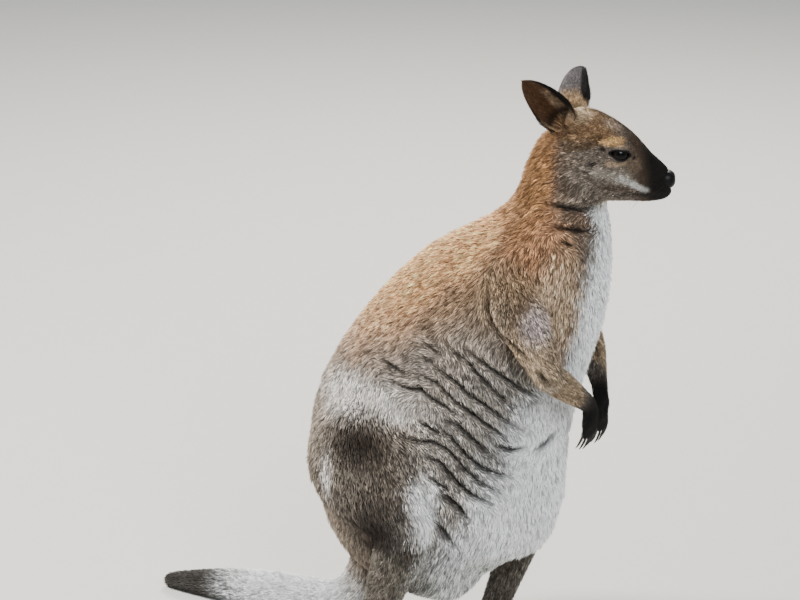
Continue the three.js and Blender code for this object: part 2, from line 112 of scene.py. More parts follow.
HEAD_S = (EYE["left"] - EYE["right"]) / np.linalg.norm(EYE["left"] - EYE["right"])
HEAD_T = np.array([0.0, 0.0, 1.0])
HEAD_F = np.cross(HEAD_S, HEAD_T)
HEAD_AT = EYES_AT - EYES_FORWARD * HEAD_F + EYES_DOWN * HEAD_T


def head_coords(points):
    """Forward, leftward and upward distance from the head's zero point, between the eyes."""
    q = points - HEAD_AT
    return q @ HEAD_F, q @ HEAD_S, q @ HEAD_T


def head_point(f, s, t):
    return HEAD_AT + f * HEAD_F + s * HEAD_S + t * HEAD_T


def to_metres(points):
    return points * MM + ORIGIN


# Each line of the lie: points from where the hair starts to where it points, with at each point the
# body's radius there, the depth of the coat, the length and breadth of a tuft and the spacing of tufts.
def line(*stations):
    return [(np.array(p, float), *rest) for p, *rest in stations]


def lie_lines():
    h = head_point
    lines = {
        "face": line(
            (h(70, 0, -46), 12, 0.4, 2.2, 0.45, 1.0),
            (h(48, 0, -38), 19, 0.6, 3.4, 0.55, 1.05),
            (h(20, 0, -22), 26, 1.2, 4.8, 0.7, 1.15),
            (h(-10, 0, -12), 34, 1.8, 6.5, 0.85, 1.3),
            (h(-45, 0, -4), 38, 3.0, 9.5, 1.05, 1.55),
            (h(-68, 0, -18), 36, 4.6, 13, 1.2, 1.8),
        ),
        "jaw": line(
            (h(64, 0, -60), 9, 0.5, 3.0, 0.5, 1.1),
            (h(36, 0, -58), 16, 1.0, 4.5, 0.65, 1.2),
            (h(0, 0, -52), 24, 2.0, 8, 0.9, 1.4),
            (h(-32, 0, -50), 30, 4.0, 12, 1.15, 1.7),
        ),
        "back": line(
            ((232, 0, 690), 34, 5.5, 15, 1.25, 1.9),
            ((196, 0, 640), 40, 6.0, 16, 1.3, 2.0),
            ((160, 0, 585), 48, 6.2, 17, 1.35, 2.05),
            ((90, 0, 520), 70, 6.2, 17, 1.4, 2.1),
            ((20, 0, 430), 85, 6.2, 17, 1.4, 2.1),
            ((-20, 0, 330), 95, 6.2, 17, 1.4, 2.1),
            ((-30, 0, 240), 90, 6.5, 18, 1.4, 2.1),
            ((-20, 0, 160), 60, 6.0, 17, 1.4, 2.1),
        ),
        "front": line(
            ((262, 4, 640), 30, 5.5, 15, 1.25, 1.9),
            ((252, 0, 570), 44, 6.5, 18, 1.35, 2.0),
            ((232, 0, 480), 62, 7.0, 19, 1.4, 2.1),
            ((190, 0, 380), 84, 7.0, 19, 1.45, 2.15),
            ((170, 0, 280), 90, 7.0, 20, 1.5, 2.2),
            ((130, 0, 190), 80, 7.0, 20, 1.5, 2.2),
            ((80, 0, 120), 50, 6.5, 19, 1.45, 2.2),
        ),
        "tail": line(
            ((-14, 0, 150), 34, 5.5, 17, 1.4, 2.1),
            ((-44, 10, 72), 31, 4.8, 15, 1.3, 2.0),
            ((-84, 24, 39), 30, 4.2, 13, 1.2, 1.9),
            ((-134, 36, 28), 29, 3.8, 12, 1.15, 1.85),
            ((-188, 42, 26), 27, 3.5, 11.5, 1.1, 1.8),
            ((-244, 46, 22), 24, 3.3, 11.5, 1.1, 1.75),
            ((-296, 48, 17), 19, 3.0, 12, 1.05, 1.7),
            ((-364, 51, 9), 10, 2.6, 12, 1.0, 1.6),
        ),
    }
    limbs = {
        "right": {
            "shoulder": (200, -62, 517), "elbow": (266, -104, 434), "wrist": (289, -32, 379),
            "knuckle": (287, -29, 350), "fingertip": (284, -29, 328),
            "hip": (-14, -66, 298), "knee": (86, -108, 222), "ankle": (6, -82, 34), "toe": (164, -82, 9),
        },
        "left": {
            "shoulder": (186, 62, 509), "elbow": (228, 98, 424), "wrist": (275, 30, 371),
            "knuckle": (277, 26, 342), "fingertip": (275, 26, 320),
            "hip": (10, 68, 296), "knee": (157, 108, 212), "ankle": (105, 84, 34), "toe": (263, 84, 9),
        },
    }
    for side, at in limbs.items():
        hip, knee, ankle = (np.array(at[k], float) for k in ("hip", "knee", "ankle"))
        lines[f"upper_arm_{side}"] = line(
            (at["shoulder"], 32, 6.0, 16, 1.3, 2.0),
            (at["elbow"], 21, 3.6, 11, 1.1, 1.75),
        )
        lines[f"forearm_{side}"] = line(
            (at["elbow"], 19, 3.2, 10, 1.05, 1.65),
            (at["wrist"], 12, 1.4, 6, 0.8, 1.3),
        )
        lines[f"hand_{side}"] = line(
            (at["wrist"], 11, 1.0, 4.6, 0.7, 1.2),
            (at["knuckle"], 12, 0.6, 3.4, 0.55, 1.2),
            (at["fingertip"], 13, 0.4, 2.4, 0.45, 1.25),
        )
        lines[f"thigh_{side}"] = line(
            (hip + (0, 0, 50), 62, 6.5, 17, 1.4, 2.1),
            (knee * 0.5 + hip * 0.5, 62, 6.2, 17, 1.4, 2.1),
            (knee + (-14, 0, -20), 38, 5.5, 17, 1.35, 2.05),
        )
        lines[f"shank_{side}"] = line(
            (knee + (-10, 0, -26), 33, 5.0, 15, 1.3, 1.95),
            (knee * 0.45 + ankle * 0.55, 24, 3.6, 12, 1.15, 1.8),
            (ankle, 18, 2.0, 7.5, 0.9, 1.55),
        )
        lines[f"foot_{side}"] = line(
            ((ankle[0] - 14, ankle[1], 16), 18, 1.3, 6, 0.85, 1.5),
            ((ankle[0] + 50, ankle[1], 13), 17, 1.1, 6, 0.8, 1.5),
            (at["toe"], 13, 0.6, 4.2, 0.65, 1.45),
        )
    return lines, limbs


LINES, LIMBS = lie_lines()
LIE_SHARPNESS = 7.0  # how soon the nearest line of the lie outweighs the others


def follow(points):
    """For each point: the blended direction of the lie, the line it belongs to, how far along that line it
    is (0 to 1), and the blended depth, length, breadth and spacing of the coat."""
    count = len(points)
    total = np.zeros(count)
    direction = np.zeros((count, 3))
    looks = np.zeros((count, 4))
    nearest = np.full(count, 1e9)
    belongs = np.zeros(count, int)
    along = np.zeros(count)
    for index, stations in enumerate(LINES.values()):
        pieces = len(stations) - 1
        for k in range(pieces):
            (a, *before), (b, *after) = stations[k], stations[k + 1]
            share, gap = nearest_on(points, a, b)
            values = np.array(before)[None] * (1 - share[:, None]) + np.array(after)[None] * share[:, None]
            reach = gap / values[:, 0]
            weight = np.exp(-LIE_SHARPNESS * reach) + 1e-12
            total += weight
            direction += weight[:, None] * unit(b - a)
            looks += weight[:, None] * values[:, 1:5]
            closer = reach < nearest
            nearest[closer] = reach[closer]
            belongs[closer] = index
            along[closer] = (k + share[closer]) / pieces
    return unit_rows(direction), belongs, along, looks / total[:, None]


# ---------------------------------------------------------------------------------------------------------
# Small tools
# ---------------------------------------------------------------------------------------------------------


def linear(hex_colour):
    """An sRGB hex colour as linear red, green and blue."""
    value = [int(hex_colour.lstrip("#")[i : i + 2], 16) / 255 for i in (0, 2, 4)]
    return np.array([c / 12.92 if c <= 0.04045 else ((c + 0.055) / 1.055) ** 2.4 for c in value])


def smooth(low, high, value):
    """0 below low, 1 above high, an S between."""
    x = np.clip((value - low) / (high - low), 0, 1)
    return x * x * (3 - 2 * x)


def blob(points, centre, radii, soft=0.5):
    """1 inside an ellipsoid, fading to 0 at 1 + soft times its radii."""
    r = np.linalg.norm((points - np.array(centre, float)) / np.array(radii, float), axis=1)
    return 1 - smooth(1 - soft, 1 + soft, r)


def waves(points, size, seed):
    """Smooth pseudo-random values about 0, roughly -1 to 1, that vary over the given size in mm."""
    rng = np.random.default_rng(seed)
    value = np.zeros(len(points))
    for _ in range(7):
        push = rng.normal(size=3)
        push *= rng.uniform(0.6, 1.5) / np.linalg.norm(push) * 2 * math.pi / size
        value += np.sin(points @ push + rng.uniform(0, 2 * math.pi))
    return value / 2.6


def unit(vector):
    return vector / np.linalg.norm(vector)


def unit_rows(vectors):
    """Each row at length 1, or 0 where it has no length."""
    return vectors / (np.linalg.norm(vectors, axis=1, keepdims=True) + 1e-9)


def nearest_on(points, a, b):
    """Share (0 to 1) along a straight piece of the place nearest to each point, and the gap to it."""
    ab = b - a
    share = np.clip((points - a) @ ab / (ab @ ab), 0, 1)
    return share, np.linalg.norm(points - (a + share[:, None] * ab), axis=1)


def distance_to(points, path):
    """Distance to a path of straight pieces, and how far along the path (0 to 1) the nearest place is."""
    best = np.full(len(points), 1e9)
    share = np.zeros(len(points))
    path = [np.array(p, float) for p in path]
    for k in range(len(path) - 1):
        part, gap = nearest_on(points, path[k], path[k + 1])
        near = gap < best
        best[near] = gap[near]
        share[near] = (k + part[near]) / (len(path) - 1)
    return best, share


def clear_selection():
    bpy.ops.object.select_all(action="DESELECT")


def activate(obj):
    clear_selection()
    obj.select_set(True)
    bpy.context.view_layer.objects.active = obj


def read_points(obj):
    out = np.empty(len(obj.data.vertices) * 3, np.float32)
    obj.data.vertices.foreach_get("co", out)
    return (out.reshape(-1, 3).astype(float) - ORIGIN) / MM


def write_points(obj, points):
    obj.data.vertices.foreach_set("co", to_metres(points).astype(np.float32).ravel())
    obj.data.update()


def read_normals(obj):
    out = np.empty(len(obj.data.vertices) * 3, np.float32)
    obj.data.vertices.foreach_get("normal", out)
    return out.reshape(-1, 3).astype(float)


def read_edges(obj):
    out = np.empty(len(obj.data.edges) * 2, np.int32)
    obj.data.edges.foreach_get("vertices", out)
    return out.reshape(-1, 2)


def relax(points, edges, amount, rounds):
    """Moves each point part of the way to the middle of its neighbours; amount is one number per point."""
    count = len(points)
    a, b = edges[:, 0], edges[:, 1]
    links = np.bincount(a, minlength=count) + np.bincount(b, minlength=count)
    links = np.maximum(links, 1)[:, None]
    amount = np.broadcast_to(np.asarray(amount, float), (count,))[:, None]
    for _ in range(rounds):
        mean = np.stack(
            [
                np.bincount(a, points[b, i], count) + np.bincount(b, points[a, i], count)
                for i in range(3)
            ],
            axis=1,
        ) / links
        points = points + (mean - points) * amount
    return points


def make_object(name, mesh):
    obj = bpy.data.objects.new(name, mesh)
    bpy.context.scene.collection.objects.link(obj)
    return obj


def copy_of_node(name):
    """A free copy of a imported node, its doubled corners merged."""
    obj = make_object(f"copy_{name}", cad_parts[name].data.copy())
    obj.data.materials.clear()
    activate(obj)
    bpy.ops.object.mode_set(mode="EDIT")
    bpy.ops.mesh.select_all(action="SELECT")
    bpy.ops.mesh.remove_doubles(threshold=0.00002)
    bpy.ops.object.mode_set(mode="OBJECT")
    return obj


def shade_smooth(obj):
    activate(obj)
    bpy.ops.object.shade_smooth()


def join(objects, name):
    activate(objects[0])
    for obj in objects:
        obj.select_set(True)
    bpy.ops.object.join()
    objects[0].name = name
    return objects[0]


def voxel_remesh(obj, size_mm):
    activate(obj)
    obj.data.remesh_voxel_size = size_mm * MM
    obj.data.remesh_voxel_adaptivity = 0
    bpy.ops.object.voxel_remesh()
    return obj


def colour_layer(mesh, name, colours):
    """Stores one linear colour per point."""
    layer = mesh.color_attributes.new(name, "FLOAT_COLOR", "POINT")
    data = np.ones((len(colours), 4), np.float32)
    data[:, :3] = colours
    layer.data.foreach_set("color", data.ravel())


# ---------------------------------------------------------------------------------------------------------
# Materials
# ---------------------------------------------------------------------------------------------------------


def add_node(tree, kind, settings=None, **links):
    """Adds one shader node, with its settings and sockets; a link is given as the socket it comes from."""
    node = tree.nodes.new(kind)
    for key, value in (settings or {}).items():
        setattr(node, key, value)
    for key, value in links.items():
        socket = node.inputs[int(key[1:])] if key[0] == "i" and key[1:].isdigit() else node.inputs[key]
        if isinstance(value, bpy.types.NodeSocket):
            tree.links.new(value, socket)
        else:
            socket.default_value = value
    return node


def new_material(name):
    material = bpy.data.materials.new(name)
    material.use_nodes = True
    tree = material.node_tree
    tree.nodes.clear()
    output = tree.nodes.new("ShaderNodeOutputMaterial")
    shader = tree.nodes.new("ShaderNodeBsdfPrincipled")
    tree.links.new(shader.outputs["BSDF"], output.inputs["Surface"])
    return material, tree, shader


def add_grain(tree, scale, detail):
    """A fine grain fixed to the object, as the socket of its value."""
    place = add_node(tree, "ShaderNodeTexCoord")
    noise = add_node(tree, "ShaderNodeTexNoise", Vector=place.outputs["Object"], Scale=scale, Detail=detail)
    return noise.outputs["Fac"]


def add_bump(tree, shader, height, strength, distance):
    bump = add_node(tree, "ShaderNodeBump", Height=height, Strength=strength, Distance=distance)
    tree.links.new(bump.outputs["Normal"], shader.inputs["Normal"])


def set_inputs(shader, values):
    for key, value in values.items():
        shader.inputs[key].default_value = value


def wear_tone(tree, shader, grain, low, high):
    """Gives a shader the tone stored in its mesh, from low to high times as light with the grain."""
    tone = add_node(tree, "ShaderNodeAttribute", {"attribute_name": "coat_tone"})
    spread = add_node(tree, "ShaderNodeMapRange", i0=grain, i1=0.3, i2=0.7, i3=low, i4=high)
    mix = add_node(tree, "ShaderNodeVectorMath", {"operation": "SCALE"}, i0=tone.outputs["Color"],
                   Scale=spread.outputs["Result"])
    tree.links.new(mix.outputs["Vector"], shader.inputs["Base Color"])


def hair_material():
    """Guard hair in locks: keratin, IOR 1.55, faintly glossy.
    The colour is banded root to tip in the mesh; a fine grain breaks each lock into hairs."""
    material, tree, shader = new_material("guard_hair_keratin")
    # hairs are about 0.06 mm thick; 0.7 mm grain is the finest that shows
    wear_tone(tree, shader, add_grain(tree, 900.0, 2.0), 0.78, 1.2)
    set_inputs(shader, {"Roughness": 0.62, "IOR": 1.55, "Specular IOR Level": 0.16})
    return material


def skin_material():
    """Skin under close underfur: velvety, no gloss, with the fine streaks of short hair in its bump."""
    material, tree, shader = new_material("underfur_over_skin")
    grain = add_grain(tree, 1100.0, 3.0)
    wear_tone(tree, shader, grain, 0.62, 1.18)
    add_bump(tree, shader, grain, 0.6, 0.0006)
    set_inputs(shader, {"Roughness": 0.8, "Specular IOR Level": 0.2})
    return material


def plain_material(name, base, roughness, shine=0.5, grain=600.0, depth=0.0002, variation=0.25):
    """A worked surface of one colour, mottled and finely pitted."""
    material, tree, shader = new_material(name)
    noise = add_grain(tree, grain, 4.0)
    dark, light = base * (1 - variation), base * (1 + variation)
    mix = add_node(tree, "ShaderNodeMix", {"data_type": "RGBA"}, i0=noise, i6=(*dark, 1), i7=(*light, 1))
    tree.links.new(mix.outputs[2], shader.inputs["Base Color"])
    add_bump(tree, shader, noise, 0.5, depth)
    set_inputs(shader, {"Roughness": roughness, "Specular IOR Level": shine})
    return material


# ---------------------------------------------------------------------------------------------------------
# Camera: a long lens at the height of the chest, from the animal's right and a little above
# ---------------------------------------------------------------------------------------------------------

FRAME_WIDTH, FRAME_HEIGHT = 800, 600
CAMERA_AZIMUTH, CAMERA_ELEVATION = math.radians(27), math.radians(17)
CAMERA_DISTANCE = 4500.0
CAMERA_LENS, SENSOR = 162.0, 36.0
CAMERA_TARGET = np.array([3.0, 24.0, 457.2])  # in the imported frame, in mm
TO_CAMERA = np.array([
    math.sin(CAMERA_AZIMUTH) * math.cos(CAMERA_ELEVATION),
    -math.cos(CAMERA_AZIMUTH) * math.cos(CAMERA_ELEVATION),
    math.sin(CAMERA_ELEVATION),
])
CAMERA_AT = CAMERA_TARGET + CAMERA_DISTANCE * TO_CAMERA
CAMERA_RIGHT = np.array([math.cos(CAMERA_AZIMUTH), math.sin(CAMERA_AZIMUTH), 0.0])
CAMERA_UP = np.cross(TO_CAMERA, CAMERA_RIGHT)


def on_skin(tree, spots):
    """Places on the skin that lie behind some places in the camera's frame, for lines drawn on it."""
    focal = CAMERA_LENS / SENSOR * FRAME_WIDTH
    found = []
    for px, py in spots:
        ray = (px - FRAME_WIDTH / 2) / focal * CAMERA_RIGHT
        ray = ray + (FRAME_HEIGHT / 2 - py) / focal * CAMERA_UP - TO_CAMERA
        hit = tree.ray_cast(Vector(CAMERA_AT * MM), Vector(ray / np.linalg.norm(ray)))[0]
        if hit is not None:
            found.append((np.array(hit) - ORIGIN) / MM)
    return found


# ---------------------------------------------------------------------------------------------------------
# What a user may change
# ---------------------------------------------------------------------------------------------------------


def colour_property(label, wearer, hex_colour):
    return bpy.props.FloatVectorProperty(
        name=label, description=wearer, subtype="COLOR", size=3, min=0, max=1,
        default=tuple(linear(hex_colour)))


def length_property(label, description, millimetres):
    return bpy.props.FloatProperty(
        name=label, description=description, default=millimetres * MM, min=0, precision=4, unit="LENGTH")


class WALLABY_PG_colours(bpy.types.PropertyGroup):
    """Colours of the coat and of the bare parts"""

    __annotations__ = {key: colour_property(*value) for key, value in COLOURS.items()}


class WALLABY_PG_sizes(bpy.types.PropertyGroup):
    """Sizes of the eye's opening, the skin's mesh and the coat's tufts"""

    lid_half: length_property("Half length of the lids", "Middle of the eye to a corner of its lids", 11.4)
    lid_rise: length_property("Rise of the upper lid", "Middle of the eye to the edge of the upper lid", 3.9)
    lid_drop: length_property("Drop of the lower lid", "Middle of the eye to the edge of the lower lid", 6.2)
    lid_thick: length_property("Thickness of the lids", "How far the lids stand off the ball", 1.2)
    skin_voxel: length_property("Skin voxel", "Grid that the body's parts are fused on", 1.5)
    ear_voxel: length_property("Ear voxel", "Grid that the ears are smoothed on", 1.1)
    skin_triangles: bpy.props.IntProperty(
        name="Skin triangles", description="Faces left in the body's skin before the face is refined",
        default=117000, min=20000)
    spacing: bpy.props.FloatProperty(
        name="Tuft spacing", description="Share of the coat's own spacing between tufts", default=0.87,
        min=0.5, max=3, subtype="FACTOR")
    length: bpy.props.FloatProperty(
        name="Tuft length", description="Share of the coat's own length of a tuft", default=0.7,
        min=0.3, max=2, subtype="FACTOR")
    breadth: bpy.props.FloatProperty(
        name="Tuft breadth", description="Share of the coat's own breadth of a tuft", default=0.74,
        min=0.3, max=3, subtype="FACTOR")


def sizes():
    return bpy.context.scene.wallaby_sizes


def lids():
    """Half length, rise, drop and thickness of the lids in mm."""
    own = sizes()
    return own.lid_half / MM, own.lid_rise / MM, own.lid_drop / MM, own.lid_thick / MM


def colour(key):
    return np.array(getattr(bpy.context.scene.wallaby_colours, key))


# ---------------------------------------------------------------------------------------------------------
# Markings: one function gives skin and coat their colour at a place on the body
# ---------------------------------------------------------------------------------------------------------

BACK_LINE = [(-20, 96), (-69, 146), (-94, 214), (-105, 282), (-93, 348), (-62, 409), (-20, 467), (24, 516),
             (68, 553), (112, 578), (151, 602), (177, 632), (200, 690), (232, 716)]
BELLY_LINE = [(92, 72), (154, 98), (208, 160), (234, 232), (238, 297), (250, 360), (268, 418), (287, 475),
              (295, 525), (296, 563), (294, 592), (287, 621), (274, 656), (262, 690)]


def side_share(points):
    """0 along the middle of the back, 1 along the middle of the chest and belly."""
    flat = points * (1, 0, 1)
    back, _ = distance_to(flat, [(x, 0, z) for x, z in BACK_LINE])
    belly, _ = distance_to(flat, [(x, 0, z) for x, z in BELLY_LINE])
    return back / (back + belly + 1e-6)


def blend(tone, target, share):
    """Moves a tone towards a named colour, or an sRGB hex one, by a share for each point."""
    target = linear(target) if target[0] == "#" else colour(target)
    return tone + (target - tone) * np.clip(share, 0, 1)[:, None]


def ribbon(points, path, half, soft=0.45):
    """1 along a path, falling to 0 at about its half breadth."""
    return 1 - smooth(half * (1 - soft), half * (1 + soft), distance_to(points, path)[0])


def body_tone(points):
    _, y, z = points.T
    width = np.abs(y)
    share = side_share(points)
    drift = waves(points, 70, 11) * 0.06
    share = share + drift * 0.5
    high = z + drift * 160
    tone = np.tile(colour("flank"), (len(points), 1))
    tone = blend(tone, "back", (1 - smooth(0.35, 0.75, share)) * smooth(330, 430, high))
    tone = blend(tone, "rump", (1 - smooth(300, 390, high - share * 60)) * (1 - smooth(0.36, 0.6, share)))
    tone = blend(tone, "sand", (1 - smooth(0.18, 0.46, share)) * smooth(395, 545, high + (1 - share) * 36))
    tone = blend(tone, "#6d5843",
                 smooth(0.19, 0.36, share) * (1 - smooth(0.74, 0.95, share)) * smooth(425, 530, high))
    tone = blend(tone, "rufous",
                 0.7 * smooth(530, 570, high) * smooth(0.2, 0.42, share) * (1 - smooth(0.6, 0.85, share)))
    tone = blend(tone, "nape", smooth(575, 640, high) * (1 - smooth(0.5, 0.7, share)))
    tone = blend(tone, "collar", smooth(578, 612, high) * smooth(0.52, 0.72, share))
    for side, sign in SIGN.items():
        hip, knee, shoulder = (np.array(LIMBS[side][k], float) for k in ("hip", "knee", "shoulder"))
        outer = np.array([0, sign, 0])
        outside = smooth(20, 60, y * sign)
        for hue, strength, centre, radii, soft in (
            ("hip", 0.8, hip + (18, 0, 66) + outer * 22, (84, 70, 27), 0.6),
            ("#5d5853", 0.5, (72, 85 * sign, 412), (64, 44, 34), 0.7),
            ("thigh", 0.9, hip * 0.6 + knee * 0.4 + (-8, 0, -4) + outer * 30, (72, 90, 80), 0.35),
            ("thigh_dark", 0.95, hip + (30, 0, 18) + outer * 50, (38, 60, 30), 0.8),
            ("thigh_dark", 0.97, knee + (-40, 0, -26) + outer * 10, (40, 50, 66), 0.7),
            ("hip", 0.75, hip + (-14, 0, -30) + outer * 40, (8, 50, 24), 0.9),
            ("#4b3f34", 0.85, shoulder + (10, 0, -36) + outer * 28, (17, 50, 38), 0.8),
        ):
            tone = blend(tone, hue, strength * outside * blob(points, centre, radii, soft))
        tone = blend(tone, "#ab937a", 0.9 * blob(
            points, shoulder + (58, 0, -14) + outer * -4, (28, 34, 68), 0.6))
        tone = blend(tone, "arm", 0.95 * smooth(10, 30, y * sign) * ribbon(
            points, [shoulder + (36, 0, -60) + outer * 24, shoulder + (60, 0, -100) + outer * 10], 26, 0.5))
    # white underside: wide on the belly, a stripe on the chest and throat
    edge = np.interp(high, (180, 235, 285, 330, 400, 430), (0.72, 0.78, 0.84, 0.86, 0.90, 0.97))
    edge = edge + waves(points, 16, 19) * 0.012
    tone = blend(tone, "belly", smooth(-0.11, 0.0, share - edge) * (1 - smooth(400, 440, high)))
    tone = blend(tone, "white", smooth(-0.02, 0.07, share - edge) * (1 - smooth(420, 450, high)))
    for sign in SIGN.values():
        tone = blend(tone, "#55524d", 0.6 * blob(points, (170, 85 * sign, 300), (24, 34, 34), 0.7))
        tone = blend(tone, "#56544c", 0.7 * blob(points, (88, 70 * sign, 118), (26, 28, 34), 0.6))
    tone = blend(tone, "#9fa19d", 0.75 * (1 - smooth(135, 215, z)) * smooth(0.62, 0.8, share))
    stripe = np.interp(high, (350, 430, 520, 575, 600, 640), (62, 33, 33, 19, 15, 22))
    stripe = 1 - smooth(stripe - 8, stripe + 6, width + waves(points, 9, 17) * 3.5)
    stripe = stripe * smooth(0.72, 0.84, share)
    tone = blend(tone, "white", stripe * smooth(340, 400, high))
    ragged = waves(points, 14, 18) * 4 + waves(points, 6, 20) * 3
    for side, sign in SIGN.items():
        knee = np.array(LIMBS[side]["knee"], float)
        gap, along = distance_to(points, [knee + (17, 8 * sign, 44), knee + (20, 8 * sign, 20),
                                          knee + (19, 4 * sign, -10), knee + (16, 2 * sign, -34)])
        half = 21 - 9 * along + ragged
        strength = 1.0 if side == "right" else 0.3  # the far knee's white is weakened to 0.3: painted shade
        tuft = strength * (1 - smooth(half - 13, half + 7, gap)) * smooth(30, 60, y * sign)
        tone = blend(tone, "white", tuft)
    return tone


def limb_tone(points, belongs, along, tone):
    keys = list(LINES)
    for side, sign in SIGN.items():
        at = {k: np.array(v, float) for k, v in LIMBS[side].items()}
        outer = np.array([0, sign, 0])
        here = belongs == keys.index(f"upper_arm_{side}")
        tone[here] = blend(tone[here], "arm", 0.3 + 0.6 * smooth(0.3, 0.95, along[here]))
        tone[here] = blend(tone[here], "#979196", 0.55 * blob(
            points[here], at["shoulder"] + (43, 0, -20) + outer * 33, (17, 26, 25), 0.7))
        here = belongs == keys.index(f"forearm_{side}")
        fore = blend(tone[here], "arm", np.ones(here.sum()))
        inner = -(points[here] - at["elbow"] * 0.5 - at["wrist"] * 0.5) @ outer
        fore = blend(fore, "#494543", 0.8 * smooth(2, 10, inner))
        tone[here] = blend(fore, "soot", smooth(0.55, 0.95, along[here]))
        here = belongs == keys.index(f"hand_{side}")
        tone[here] = colour("soot")
        here = belongs == keys.index(f"shank_{side}")
        lean = (at["knee"][0] - at["ankle"][0]) / (at["knee"][2] - at["ankle"][2])
        ahead = (points[here] - at["ankle"]) @ np.array([1, 0, -lean])
        shank = np.tile(linear("#59534b"), (here.sum(), 1))
        shank = blend(shank, "thigh_dark", 0.6 * (1 - smooth(0.0, 0.2, along[here])))
        shank = blend(shank, "#3b362f", 0.6 * smooth(0.6, 1.0, along[here]))
        tone[here] = blend(shank, "#a9aaa6", 0.6 * smooth(22, 33, ahead))
        here = belongs == keys.index(f"foot_{side}")
        foot = np.tile(linear("#453f38"), (here.sum(), 1))
        tone[here] = blend(foot, "soot", smooth(0.15, 0.75, along[here]))
    here = belongs == keys.index("tail")
    tail = blend(tone[here], "tail", smooth(0.03, 0.22, along[here]))
    # greyer low down, where the tail lies near the floor: painted shade
    tail = blend(tail, "#8d8f8c", 0.55 * (1 - smooth(8, 22, points[here][:, 2])))
    tone[here] = blend(tail, "tail_tip", smooth(0.62, 0.86, along[here]))
    return tone


def head_tone(points, tone):
    f, s, t = head_coords(points)
    w = np.abs(s)
    fst = points_fst(f, w, t)

    def spot(face, hue, strength, centre, radii, soft):
        return blend(face, hue, strength * blob(fst, centre, radii, soft))

    def streak(face, hue, strength, path, half, soft=0.45):
        return blend(face, hue, strength * ribbon(fst, path, half, soft))

    face = np.tile(colour("cheek"), (len(points), 1))
    face = blend(face, "#55483c", (1 - smooth(-66, -40, f)) * 0.85)
    face = blend(face, "crown", smooth(6, 22, t) * (1 - smooth(-14, 8, f)))
    face = spot(face, "#b7a184", 0.8, (-46, 12, 47), (17, 16, 12), 0.6)
    face = spot(face, "#93816f", 0.7, (-8, 11, 31), (17, 8, 8), 0.6)
    face = streak(face, "#43331f", 0.75, [(-72, 30, 5), (-46, 33, 9), (-30, 32, 12), (-22, 29, 20)], 4.5)
    face = streak(face, "#8d8275", 0.7, [(-56, 33, -26), (-40, 34, -36), (-28, 32, -46)], 6.5)
    face = blend(face, "#46372b", 0.9 * smooth(4, 22, f + 0.2 * t))
    face = spot(face, "#6b5b4b", 0.8, (20, 26, -14), (9, 12, 11), 0.6)
    face = spot(face, "brow", 0.95, (-5, 28, 14.5), (15, 14, 4.8), 0.45)
    parting = (1 - smooth(2.5, 6.0, w)) * smooth(-46, -34, f) * smooth(0, 10, t + f)
    face = blend(face, "#35281d", 0.75 * parting)
    face = streak(face, "#a18a70", 0.8, [(-12, 34, -11), (0, 33, -13), (9, 30, -12)], 3.2)
    face = streak(face, "#a89f92", 0.62, [(-26, 33, -20), (-6, 31, -25), (10, 27, -32)], 6.5, 0.8)
    face = streak(face, "#4b3e33", 0.8, [(-26, 32, -42), (-8, 29, -44), (8, 25, -46), (18, 22, -50)], 5)
    face = blend(face, "soot", 0.96 * smooth(22, 42, f + 0.15 * (t + 20)))
    face = streak(face, "lip", 0.4, [(2, 28, -30), (12, 25, -34.5), (20, 22, -39)], 3.6, 0.9)
    face = streak(face, "lip", 0.92, [(17, 23, -38.5), (27, 19.5, -44), (34, 17.5, -47)], 3.1, 0.8)
    face = streak(face, "#1b1410", 0.95, [(-10, 23, -58), (8, 20, -55), (24, 18, -54.5), (44, 15, -56)], 4.6)
    face = spot(face, "#b3a88e", 0.9, (-14, 6, -67), (24, 20, 5), 0.6)
    face = spot(face, "#140f0c", 0.95, (-29, 34, -11.5), (3.6, 9, 3.2), 0.4)
    face = streak(face, "#17120f", 0.9, [(-13, 33, 5), (-20, 33, 8)], 2.4)
    face = streak(face, "#17120f", 0.9, [(12, 24, -2.5), (19, 22, -6)], 2.2)
    face = blend(face, "#120e0c", 1 - smooth(1.4, 3.2, eyelid_gap(points)))
    on_head = smooth(-82, -60, f) * smooth(-74, -62, t)
    return tone + (face - tone) * on_head[:, None]


def points_fst(f, s, t):
    return np.stack([f, s, t], axis=1)


def coat_tone(points):
    """The coat's colour at each place, before the banding of single tufts."""
    _, belongs, along, _ = follow(points)
    return head_tone(points, limb_tone(points, belongs, along, body_tone(points)))


# ---------------------------------------------------------------------------------------------------------
# Sculpting of the skin
# ---------------------------------------------------------------------------------------------------------

FLESH = ["trunk", "chest", "neck", "head", "jaw", "tail_base", "tail_middle", "tail_end"]
FLESH += [f"{part}_{side}" for side in SIGN for part in (
    "ear", "thigh", "shank", "foot", "upper_arm", "forearm", "hand")]
CLAWS = [f"toe_claw_{toe}_{side}" for side in SIGN for toe in ("fourth", "fifth", "third", "second")]
CLAWS += [f"finger_claw_{finger}_{side}" for side in SIGN
          for finger in ("first", "second", "third", "fourth", "fifth")]

SEAM_FILL = 0.45  # each solid is swelled by this much so that the thin cuts between them close
EAR_FILL = 0.35
BELLY_LIFT, BELLY_BACK = 28, 10  # how far the belly's lowest part is drawn up and back, clear of the feet
SET_IN = 0.85  # share of the coat's depth that the skin lies inside the solids by
UNDERFUR = 0.72  # the skin's colour as a share of that of the coat over it

